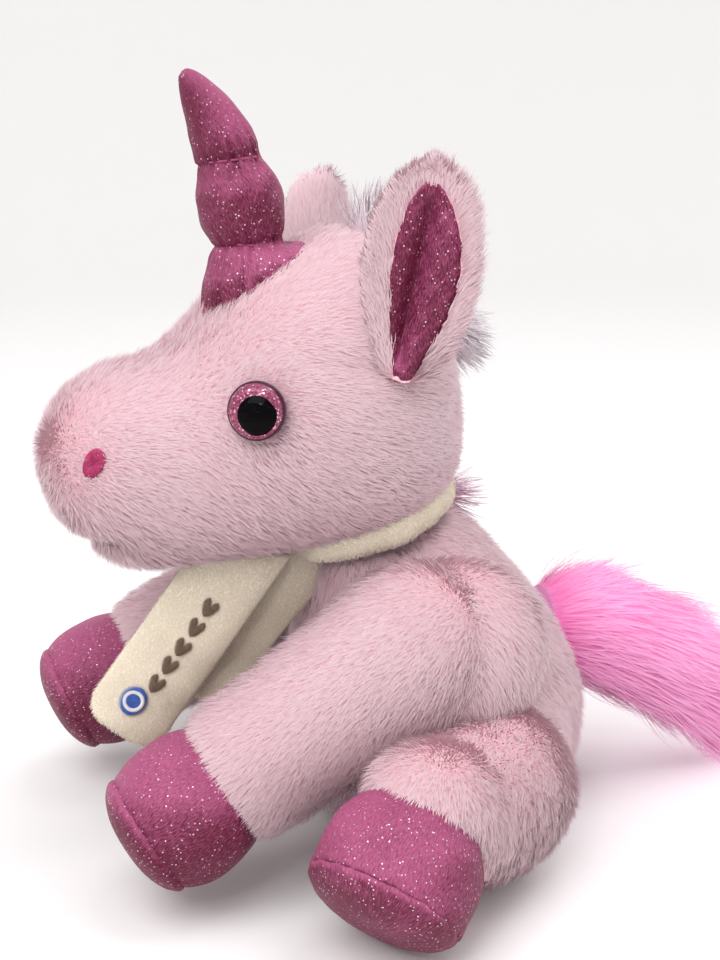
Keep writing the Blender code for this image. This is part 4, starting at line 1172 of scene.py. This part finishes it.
hornShape = {
    # y, z and radius in millimetres, from the hidden root up
    "line": [
        (-50.6, 155.0, 16.4), (-51.4, 161.0, 16.8), (-52.4, 166.5, 16.6),
        (-53.8, 172.0, 15.2), (-54.8, 176.6, 12.2),
        (-55.3, 180.2, 9.4), (-55.9, 182.8, 10.5), (-56.8, 187.0, 12.1),
        (-57.8, 192.0, 12.6), (-58.8, 197.0, 11.9),
        (-59.8, 201.4, 9.7), (-60.5, 204.4, 8.4), (-61.4, 206.8, 9.0),
        (-63.2, 211.0, 8.9), (-65.7, 216.4, 7.6),
        (-68.7, 221.6, 5.8), (-71.3, 225.8, 3.9), (-73.1, 228.4, 2.0), (-73.6, 229.0, 0.4),
    ],
    "waists": (180.2, 204.4),
    "browRise": 6.0,
    "rings": 150,
    "around": 120,
    # each gathering thread: waist height, radius, y, dip at the side and dip in front
    "threads": {"lower": (180.2, 9.35, -55.3, 1.0, 0.1), "upper": (204.4, 8.45, -60.5, 1.0, 0.4)},
}


def hornPoints():
    line = np.array(hornShape["line"])
    path = spread(np.arange(len(line)), line, hornShape["rings"])
    angles = np.linspace(0, 2 * math.pi, hornShape["around"], endpoint=False)
    points = []
    for k, (y, z, r) in enumerate(path):
        way = unit([0, *(path[min(k + 1, len(path) - 1), :2] - path[max(k - 1, 0), :2])])
        side = np.array([1.0, 0, 0])
        front = np.cross(side, way)
        gather = sum(np.exp(-(((z - waist) / 5.0) ** 2)) for waist in hornShape["waists"])
        skirt = 1 - fade(np.array(z), 162.0, 178.0)
        folds = np.sin(
            13 * angles + 1.8 * np.sin(2 * angles) + z * 0.05
        ) + 0.55 * np.sin(23 * angles + 0.11 * z)
        creases = np.sin(5 * angles + 0.16 * z) * np.sin(0.55 * z + 2.2 * np.sin(angles * 2))
        radius = r * (1 + 0.062 * gather * folds + 0.085 * skirt * folds + 0.018 * creases)
        onBrow = 1 - fade(np.array(z), 168.0, 182.0)
        lift = 1.3 * gather * np.sin(angles + 0.6) + hornShape["browRise"] * onBrow * (
            0.5 - 0.5 * np.sin(angles)
        )
        for a, q, rise in zip(angles, radius, lift):
            spot = np.array([0, y, z]) + q * (math.cos(a) * side + math.sin(a) * front) + way * rise
            points.append(spot * mm)
    return points


horn = meshObject("horn_velvet", hornPoints(), ringFaces(hornShape["rings"], hornShape["around"]))
hornWay = unit([0, -20.0, 70.0])
weaveMap(
    horn, np.array([0, -54.4, 165.0]) * mm, hornWay, np.array([1.0, 0, 0]), np.cross(hornWay, [1.0, 0, 0])
)
ready(horn, "velvet", "horn", "horn_skin", "horn_fill", material=velvet)
for name, (waist, r, y, dip, front) in hornShape["threads"].items():
    rows, turns, points = 72, 8, []
    for a in np.linspace(0, 2 * math.pi, rows, endpoint=False):
        drop = dip * math.sin(a + 0.6) + front * math.sin(a) - (name == "upper") * r * math.sin(a) * 0.24
        centre = np.array([r * math.cos(a), y - r * math.sin(a) * 0.97, waist + drop])
        outward = unit([math.cos(a), -math.sin(a), 0])
        for b in np.linspace(0, 2 * math.pi, turns, endpoint=False):
            points.append((centre + 0.32 * (math.cos(b) * outward + math.sin(b) * up)) * mm)
    faces = []
    for k in range(rows):
        a, b = k * turns, (k + 1) % rows * turns
        faces += [(a + m, a + (m + 1) % turns, b + (m + 1) % turns, b + m) for m in range(turns)]
    thread = meshObject(f"horn_{name}_thread", points, faces)
    ready(thread, "stitching", "horn", f"horn_thread_{name}", material=pinkThread)
print("unicorn: horn is gathered")

# ears: a plush back folded round a hollow velvet lining

earShape = {
    # up the ear: place, half width and half thickness
    "rows": [
        (0.0, 5.0, 4.4), (0.10, 8.0, 4.2), (0.25, 11.4, 3.6),
        (0.45, 13.6, 3.2), (0.62, 13.6, 3.0), (0.80, 11.0, 2.7),
        (0.93, 6.6, 2.2), (1.0, 1.2, 0.9),
    ],
    "cup": 3.4,
    "fold": 3.4,
    "base": {"left": (46.5, -23.0, 147.5), "right": (-46.5, -23.0, 147.5)},
    "tip": {"left": (54.0, -17.5, 205.5), "right": (-62.0, -17.5, 193.0)},
    # the lining's edges across the ear at its foot, middle and top, and how far up it goes
    "front": (-0.42, -0.56, -0.46),
    "rear": (0.50, 0.88, 0.62),
    "reach": (0.02, 0.965),
    "columns": 38,
    "lines": 60,
}
earRows = spread([row[0] for row in earShape["rows"]], earShape["rows"], 40)


def earFold(s, q):
    # the deep crease that runs down the lining, towards the ear's front edge
    line = -0.22 + 0.40 * s
    ends = fade(s, 0.0, 0.2) * (1 - fade(s, 0.72, 0.92))
    dip = earShape["fold"] * np.exp(-(((q - line) / 0.17) ** 2)) * ends
    return dip - 1.5 * np.exp(-(((q - line - 0.42) / 0.26) ** 2)) * (1 - fade(s, 0.7, 0.95))


def liningEdges(s):
    # the lining's front and rear edge, as shares of the ear's half width
    t = np.clip((s - earShape["reach"][0]) / (earShape["reach"][1] - earShape["reach"][0]), 0, 1)
    ends = []
    for foot, middle, top in (earShape["front"], earShape["rear"]):
        bulge = foot + (top - foot) * t + (middle - (foot + top) / 2) * np.sin(math.pi * t) ** 0.8
        ends.append(bulge)
    point = np.sqrt(np.clip(1 - np.clip((t - 0.80) / 0.20, 0, 1) ** 2, 0.0025, 1))
    centre = (ends[0] + ends[1]) / 2
    return centre + (ends[0] - centre) * point, centre + (ends[1] - centre) * point


for side in sides:
    base, tip = np.array(earShape["base"][side]), np.array(earShape["tip"][side])
    height, high = np.linalg.norm(tip - base), unit(tip - base)
    facing = np.array([0.883 * sides[side], -0.469, 0.0])
    facing = unit(facing - high * (facing @ high))
    across = np.cross(high, facing) * sides[side]
    around, points = 48, []
    for s, half, thick in earRows:
        for a in np.linspace(0, 2 * math.pi, around, endpoint=False):
            q = math.cos(a)
            depth = thick * math.sin(a) + earShape["cup"] * (q * q - 0.45) * fade(np.array(s), 0, 0.3)
            depth -= earFold(s, q) * max(math.sin(a), 0)
            points.append((base + high * s * height + across * q * half + facing * depth) * mm)
    ear = meshObject(f"ear_{side}_plush", points, ringFaces(len(earRows), around))
    rounder = ear.modifiers.new("rounder", "SUBSURF")
    rounder.levels = rounder.render_levels = 1
    baked(ear)
    p, n = places(ear), normals(ear)
    local = p / mm - base
    s = (local @ high) / height
    q = (local @ across) / np.maximum(np.interp(s, earRows[:, 0], earRows[:, 1]), 1.5)
    low, top = liningEdges(s)
    covered = (n @ facing > 0.15) & (q > low + 0.05) & (q < top - 0.05) & (s < 0.90)
    way = high + across * (q * 0.8)[:, None] + facing * np.where(n @ facing > 0, -0.1, -0.3)[:, None]
    length = (0.0060 + 0.0022 * fade(q, 0.4, 0.9)) * (1 - 0.40 * fade(-q, 0.5, 0.9) * (n @ facing > -0.2))
    combed(ear, way, length, 0.78 + 0.3 * partings(p), np.where(covered, 0.0, 1.0) * fade(s, -0.02, 0.06))
    fur = furOn(f"ear_{side}_pile", ear, 7.0e6, 51 + sides[side], lift=0.5)
    ready(fur, "plush", f"ear_{side}")
    ready(ear, "plush", f"ear_{side}", f"ear_{side}", material=plushBacking)
    # the lining: velvet stretched over the hollow side, its edge turned under
    cols, lines = earShape["columns"], earShape["lines"]
    points = []
    for layer in (0, 1):
        for j in range(lines):
            s = earShape["reach"][0] + (earShape["reach"][1] - earShape["reach"][0]) * j / (lines - 1)
            half, thick = np.interp(
                s, earRows[:, 0], earRows[:, 1]
            ), np.interp(s, earRows[:, 0], earRows[:, 2])
            low, top = liningEdges(s)
            for i in range(cols):
                t = i / (cols - 1)
                q = low + (top - low) * t
                edge = min(t, 1 - t, (1 - j / (lines - 1)) * 2.2, j / (lines - 1) * 3)
                proud = 1.5 * fade(np.array(edge), 0.0, 0.10) - 0.35
                cup = earShape["cup"] * (q * q - 0.45) * fade(np.array(s), 0, 0.3)
                depth = thick * math.sqrt(max(1 - q * q, 0)) + cup
                depth += proud - earFold(s, q) - layer * 0.7
                depth += 0.16 * math.sin(38 * s + 9 * q) + 0.12 * math.sin(61 * s - 17 * q)
                points.append((base + high * s * height + across * q * half * 0.995 + facing * depth) * mm)
    number, faces = cols * lines, []
    for j in range(lines - 1):
        for i in range(cols - 1):
            a = j * cols + i
            faces.append((a, a + 1, a + cols + 1, a + cols))
            faces.append((number + a + cols, number + a + cols + 1, number + a + 1, number + a))
    rim = [i for i in range(cols)] + [j * cols + cols - 1 for j in range(1, lines)]
    rim += [
        (lines - 1) * cols + i for i in range(cols - 2, -1, -1)
    ] + [j * cols for j in range(lines - 2, 0, -1)]
    for a, b in zip(rim, rim[1:] + rim[:1]):
        faces.append((a, b, b + number, a + number))
    lining = meshObject(f"ear_{side}_velvet", points, faces)
    # painted light: the lining's nap attribute, paler where it faces up, deeper below
    brushed(lining)
    layer = lining.data.uv_layers.new(name="weave")
    local = places(lining) / mm - base
    flat = np.c_[local @ across, local @ high][[loop.vertex_index for loop in lining.data.loops]]
    layer.uv.foreach_set("vector", flat.astype(np.float32).ravel())
    ready(lining, "velvet", f"ear_{side}", f"ear_{side}_lining", material=velvet)
print("unicorn: ears are sewn")

# eyes: an acrylic dome with a glitter iris, on a ribbed peg behind

eyeShape = {
    "parts": {
        "pupil": [
            (-1.0, 0.1), (-1.0, 5.2), (2.5, 5.7), (3.3, 5.5), (4.0, 4.6), (4.5, 3.2), (4.75, 1.5),
            (4.8, 0.05)
        ],
        "iris": [
            (-1.4, 0.1), (-1.4, 6.8), (0.4, 7.6), (1.25, 7.45), (2.1, 6.8),
            (2.8, 5.9), (3.0, 5.0), (3.1, 3.0), (3.1, 0.1),
        ],
        "rim": [
            (-2.2, 0.1), (-2.2, 7.6), (-1.4, 8.1), (-0.3, 8.2), (0.5, 8.05), (0.75, 7.75), (0.2, 7.4),
            (0.0, 0.1)
        ],
        "peg": [
            (-9.0, 0.1), (-9.0, 1.2), (-8.4, 1.8), (-7.8, 1.5),
            (-7.0, 1.8), (-6.4, 1.5), (-5.6, 1.8), (-5.0, 1.5),
            (-2.4, 1.8), (-2.1, 0.1),
        ],
    },
    "finishes": {"pupil": pupilBlack, "iris": irisGlitter, "rim": rimBlack, "peg": rimBlack},
    "proud": -3.6,
    "turn": (0, -0.10, 0.03),
    "pupilShift": (0, 0.9, -0.9),
}
for side in sides:
    spot, axis = eyeSpots[side]
    axis = unit(axis + np.array(eyeShape["turn"]))
    origin = spot / mm + axis * eyeShape["proud"]
    for part, rows in eyeShape["parts"].items():
        rows = np.array(rows, float)
        if part in ("pupil", "iris"):
            rows = spread(np.arange(len(rows)), rows, 40)
            rows[:, 1] = np.maximum(rows[:, 1], 0.02)
        centre = origin + np.array(eyeShape["pupilShift"]) * (part == "pupil")
        piece = turnedShape(f"eye_{side}_{part}", centre, axis, up, rows, 64)
        nodes = [f"eye_{side}"] if part == "iris" else []
        ready(piece, "eye", "head", *nodes, material=eyeShape["finishes"][part])
print("unicorn: eyes are set")

# nostrils: deep pink ovals sewn into a dimple

nostrilShape = {"long": 4.4, "wide": 3.0, "proud": 0.9, "tilt": 0.5, "rings": 18, "around": 40}
for side in sides:
    p, n = places(head), normals(head)
    near = np.argsort(np.linalg.norm(p - nostrilSpots[side], axis=1))[:12]
    out = unit(n[near].mean(0))
    spot = p[near[:4]].mean(0) / mm + out * 1.2
    longWay = unit(np.cross(np.cross(out, up + np.array([0, nostrilShape["tilt"], 0])), out))
    wideWay = np.cross(out, longWay)
    points = []
    for r in range(nostrilShape["rings"]):
        t = -math.pi / 2 + math.pi * (r + 0.02) / (nostrilShape["rings"] - 0.96)
        for a in np.linspace(0, 2 * math.pi, nostrilShape["around"], endpoint=False):
            u, v = math.cos(t) * math.cos(a), math.cos(t) * math.sin(a)
            ridge = 0.10 * math.sin(
                u * nostrilShape["long"] * 2 * math.pi / 0.62
            ) - 0.55 * math.exp(-(u * u + v * v) / 0.22)
            rise = nostrilShape["proud"] * math.sin(t) + ridge * (math.sin(t) > 0)
            points.append((
                spot + longWay * u * nostrilShape["long"] + wideWay * v * nostrilShape["wide"] + out * rise
            ) * mm)
    nose = meshObject(
        f"nostril_{side}_satin", points, ringFaces(nostrilShape["rings"], nostrilShape["around"])
    )
    weaveMap(nose, spot * mm, out, longWay, wideWay)
    ready(nose, "nose", "head", f"nostril_{side}", material=nostrilVelvet)
print("unicorn: nostrils are sewn")

# tail: long pile on a stuffed core

tailShape = {
    # x, y, z, the outer radius and the inner radius
    "line": [
        (
            0, 38.5, 54.5, 12.5, 5.0
        ), (0, 46, 54.0, 14.2, 7.5), (0, 58, 50.0, 14.0, 8.5), (0, 72, 43.5, 12.8, 8.5),
        (0, 86, 35.0, 11.0, 7.5), (0, 98, 26.0, 8.6, 6.0), (0, 107, 19.5, 4.5, 3.0),
    ],
    "strand": 0.034,
    "layers": {"core": (3, 2.1e6), "inner": (4, 1.0e6)},
}
tailLook = {
    "width": 0.00052,
    "lift": 0.16,
    "clump": 0.40,
    "clumpsPerMetre": 95.0,
    "stray": 0.10,
    "sway": 0.0150,
    "swaysPerMetre": 70.0,
    "spread": 0.45,
}
tailLine = np.array(tailShape["line"], float)
for name, (column, perSquareMetre) in tailShape["layers"].items():
    tail = together(f"tail_{name}_sewn", [limbShape(tailLine[:, [0, 1, 2, column]], 40, 32)])
    p, n = places(tail), normals(tail)
    # the direction of the tail's middle line at the nearest place
    path = spread(np.linspace(0, 1, len(tailLine)), tailLine[:, :3], 60) * mm
    ways = np.gradient(path, axis=0)
    near = np.argmin(((p[:, None, :] - path[None]) ** 2).sum(2), axis=1)
    way, along = ways[near] / np.linalg.norm(ways[near], axis=1)[:, None], near / 59
    out = n - way * (n * way).sum(1)[:, None]
    keep(tail, "comb", "FLOAT_VECTOR", way + 0.50 * out * (1 - fade(along, 0.0, 0.25))[:, None])
    keep(tail, "pileLength", "FLOAT", tailShape["strand"] * (0.55 + 0.45 * fade(along, 0.0, 0.4)))
    keep(tail, "pileTone", "FLOAT", 0.35 + 0.75 * partings(p, 150.0))
    keep(tail, "pileDensity", "FLOAT", np.where(along < 0.01, 0.2, 1.0))
    look = {**tailLook, "perSquareMetre": perSquareMetre}
    fur = pile(f"tail_pile_{name}", tail, tailPile, longStrands, look, 71 + len(name))
    ready(fur, "pile", "tail")
    if name == "core":
        ready(tail, "pile", "tail", "tail_pile", "tail_core", material=tailBacking)
    else:
        bpy.data.objects.remove(tail)
print("unicorn: tail is set")

# tufts of mane: loose wisps from small roots

tufts = {
    # place, size and lie of each tuft in millimetres, its strands' length in metres and its own body
    "forelock": {
        "at": (2, -18, 183), "size": (8, 7, 4), "way": (0.30, 0.25, 0.9), "long": 0.013, "body": "head"
    },
    "mane_tuft": {
        "at": (5, 5, 152), "size": (8, 4, 7), "way": (0.25, 0.9, -0.45), "long": 0.011, "body": "head"
    },
    "nape_tuft": {
        "at": (-4, 5, 100), "size": (6, 3, 3), "way": (0.1, 0.95, -0.25), "long": 0.015, "body": "torso"
    },
}
for n, (name, tuft) in enumerate(tufts.items()):
    finish = mauvePile if name == "nape_tuft" else manePile
    root = meshObject(f"{name}_root", *ballShape(tuft["at"], tuft["size"], 14, 20))
    p, out = places(root), normals(root)
    way = unit(tuft["way"])
    keep(root, "comb", "FLOAT_VECTOR", np.tile(way, (len(p), 1)) + 0.35 * out)
    keep(root, "pileLength", "FLOAT", np.full(len(p), tuft["long"]))
    keep(root, "pileTone", "FLOAT", 0.4 + 0.7 * partings(p, 200.0))
    keep(root, "pileDensity", "FLOAT", fade(out @ way, -0.5, 0.0))
    look = {**tailLook, "width": 0.00026, "lift": 0.35, "clump": 1.3, "stray": 0.35, "sway": 0.007}
    look.update({"swaysPerMetre": 140.0, "spread": 0.7, "perSquareMetre": 2.4e6})
    fur = pile(f"{name}_pile", root, finish, longStrands, look, 81 + n)
    ready(fur, "tuft", tuft["body"])
    ready(root, "tuft", tuft["body"], *([] if name == "nape_tuft" else [name]), material=finish)
print("unicorn: tufts are set")

# scarf: a folded band of cream minky round the neck, and two ends that fall over the chest

scarfShape = {
    # each end: middle of its upper edge, way down, how far it starts above and ends below, and its half
    # width; the slant is how much higher the near edge starts, under the jaw
    "ends": {
        "embroidered": {
            "top": (14.6, -69.7, 81.2), "down": (0.053, -0.610, -0.791), "from": -7, "to": 51.5,
            "half": 12.4
        },
        "plain": {
            "top": (8.9, -44.6, 88.0), "down": (0.033, -0.670, -0.742), "from": -6, "to": 52.0, "half": 12.4
        },
    },
    "across": (0.22, 0.80, -0.54),
    "slant": 13.0,
    "thick": 1.7,
    "corner": 7.0,
    "rings": 60,
    "around": 56,
    # the collar: half sizes across and front to back, its middle, height at the middle and rise to the back
    "collar": {
        "half": (30.5, 24.5), "middle": -21.5, "height": 99.0, "rise": 0.30, "tall": 4.2, "thick": 1.4
    },
    # hearts: their places down the end, the offset across it, half size, rows of thread and lift
    "hearts": (6.0, 13.0, 20.0, 26.6, 33.2),
    "offset": 0.9,
    "badge": (41.0, -1.6),
    "heart": 2.7,
    "rows": 0.40,
    "thread": 0.00024,
}


def scarfFrame(name):
    end = scarfShape["ends"][name]
    down = unit(end["down"])
    across = unit(np.array(scarfShape["across"]) - down * (down @ np.array(scarfShape["across"])))
    return end, down, across, np.cross(down, across)


def scarfWave(name, s, t):
    # how far the cloth stands off its plane, in millimetres: a slow bow, soft folds and a curled foot
    end = scarfShape["ends"][name]
    phase = 0.0 if name == "embroidered" else 1.7
    q = t / end["half"]
    fold = 0.9 * np.sin(s * 0.11 + phase) + 0.5 * np.sin(s * 0.07 + 2.1 * q + phase) * q
    return fold + 0.28 * np.sin(s * 0.42 + 1.3 * q + phase) - 1.1 * q * q - 0.9 * fade(
        s, end["to"] - 12, end["to"]
    ) * q


def onScarf(name, s, t, proud=0.0):
    # a place on the end's front: s down it and t across it, in millimetres
    end, down, across, face = scarfFrame(name)
    crown = scarfShape["thick"] * math.sqrt(max(1 - abs(t / end["half"]) ** 4, 0))
    return np.array(end["top"]) + down * s + across * t + face * (scarfWave(name, s, t) + crown + proud)


def napped(thing, way, length, perSquareMetre, seed, tone=0.75):
    combed(
        thing, way, np.full(len(thing.data.vertices), length), tone + 0.25 * partings(places(thing), 160.0),
        np.ones(len(thing.data.vertices))
    )
    changes = {"width": 0.00026, "lift": 0.45, "clump": 0.9, "clumpsPerMetre": 260.0, "sway": 0.0006}
    return furOn(f"{thing.name}_nap", thing, perSquareMetre, seed, None, creamPile, **changes)


collar = scarfShape["collar"]
rows, around, points = 96, 24, []
for a in np.linspace(0, 2 * math.pi, rows, endpoint=False):
    outward = unit([math.cos(a) / collar["half"][0], math.sin(a) / collar["half"][1], 0])
    x, y = collar["half"][0] * math.cos(a), collar["middle"] + collar["half"][1] * math.sin(a)
    z = collar["height"] + (y - collar["middle"]) * collar["rise"]
    fold = 0.7 * math.sin(7 * a + 0.5) + 0.4 * math.sin(13 * a)
    for b in np.linspace(0, 2 * math.pi, around, endpoint=False):
        c, s = math.cos(b), math.sin(b)
        thick = collar["thick"] * math.copysign(abs(c) ** 0.8, c)
        tall = collar["tall"] * math.copysign(abs(s) ** 0.7, s)
        bow = 1.2 * (1 - (tall / collar["tall"]) ** 2) + fold * 0.4 * math.sin(1.5 * b)
        points.append((np.array([x, y, z]) + outward * (thick + bow + fold * 0.5) + up * tall) * mm)
faces = []
for k in range(rows):
    a, b = k * around, (k + 1) % rows * around
    faces += [(a + m, a + (m + 1) % around, b + (m + 1) % around, b + m) for m in range(around)]
band = meshObject("scarf_band", points, faces)
nap = napped(band, (0, 0, -1), 0.0016, 5.0e6, 91)
ready(nap, "scarf", "torso")
ready(band, "scarf", "torso", "scarf_collar", material=creamMinky)

for n, name in enumerate(scarfShape["ends"]):
    end, down, across, face = scarfFrame(name)
    points = []
    for s in np.linspace(end["from"], end["to"] - 0.1, scarfShape["rings"]):
        left = max(s - (end["to"] - scarfShape["corner"]), 0) / scarfShape["corner"]
        half = end["half"] - scarfShape["corner"] * (1 - math.sqrt(max(1 - left * left, 0)))
        thick = scarfShape["thick"] * math.sqrt(max(1 - left**6, 0.02)) * (
            0.35 + 0.65 * fade(s, end["from"], end["from"] + 3)
        )
        for b in np.linspace(0, 2 * math.pi, scarfShape["around"], endpoint=False):
            t = half * math.cos(b)
            crown = thick * math.copysign(abs(math.sin(b)) ** 0.7, math.sin(b))
            higher = scarfShape["slant"] * (0.5 + 0.5 * t / end["half"]) * (
                1 - fade(s, end["from"], end["from"] + 30)
            )
            spot = np.array(end["top"]) + down * (s - higher) + across * t + face * (
                scarfWave(name, s, t) + crown
            )
            points.append(spot * mm)
    cloth = meshObject(f"scarf_{name}", points, ringFaces(scarfShape["rings"], scarfShape["around"]))
    nap = napped(cloth, down, 0.0015, 4.5e6, 93 + n)
    ready(nap, "scarf", "torso")
    ready(cloth, "scarf", "torso", f"scarf_end_{name}", material=creamMinky)


def satin(name, inside, size, centre, finish):
    # rows of thread laid across a shape; inside gives the shape's two edges at a height
    end, down, across, face = scarfFrame("embroidered")
    spots, ahead, outward, spans = [], [], [], []
    for v in np.arange(-size + 0.15, size, scarfShape["rows"]):
        for low, high in inside(v / size):
            low, high = low * size, high * size
            if high - low < 0.3:
                continue
            s, t = centre[0] + v, centre[1] + (low + high) / 2
            spots.append(onScarf("embroidered", s, t, 0.75) * mm)
            ahead.append(across)
            outward.append(face)
            spans.append((high - low) * mm)
    return threads(name, spots, ahead, outward, spans, scarfShape["thread"], finish)


def heartEdges(v):
    # a heart whose point is at the foot: v runs from -1 at the lobes to 1 at the point
    if v > -0.35:
        half = 0.98 * math.sqrt(max(1 - ((v + 0.35) / 1.35) ** 1.25, 0))
        return [(-half, half)]
    lobe = 0.46 * math.sqrt(max(1 - ((v + 0.35) / 0.62) ** 2, 0))
    return [(-0.5 - lobe, -0.5 + lobe), (0.5 - lobe, 0.5 + lobe)]


for n, s in enumerate(scarfShape["hearts"]):
    heart = satin(
        f"scarf_heart_{n + 1}", heartEdges, scarfShape["heart"], (s, scarfShape["offset"]), brownThread
    )
    ready(heart, "stitching", "torso", f"scarf_motif_{n + 1}")
badge = satin(
    "scarf_badge_disc", lambda v: [(-math.sqrt(max(1 - v * v, 0)), math.sqrt(max(1 - v * v, 0)))], 4.4,
    scarfShape["badge"], blueThread
)
ready(badge, "badge", "torso", "scarf_badge")
spots, ahead, outward = [], [], []
end, down, across, face = scarfFrame("embroidered")
for a in np.linspace(0, 2 * math.pi, 36, endpoint=False):
    ray, turned = math.cos(a) * down + math.sin(a) * across, -math.sin(a) * down + math.cos(a) * across
    s, t = scarfShape["badge"][0] + 2.7 * math.cos(a), scarfShape["badge"][1] + 2.7 * math.sin(a)
    spots.append(onScarf("embroidered", s, t, 1.05) * mm)
    ahead.append(ray)
    outward.append(face)
ring = threads(
    "scarf_badge_ring", spots, ahead, outward, [0.0013] * len(spots), scarfShape["thread"], whiteThread
)
ready(ring, "badge", "torso")
print("unicorn: scarf is tied")

# pieces inside the toy keep their CAD shapes and take their own finishes
inside = {"seat_bean_bag": pelletCotton, "neck_fill": fibreWhite}
inside.update({f"eye_washer_{side}": washerWhite for side in sides})
for name, finish in inside.items():
    node = frame["nodes"][name]
    for slot in node.material_slots:
        slot.material = finish
    if not node.material_slots:
        node.data.materials.append(finish)
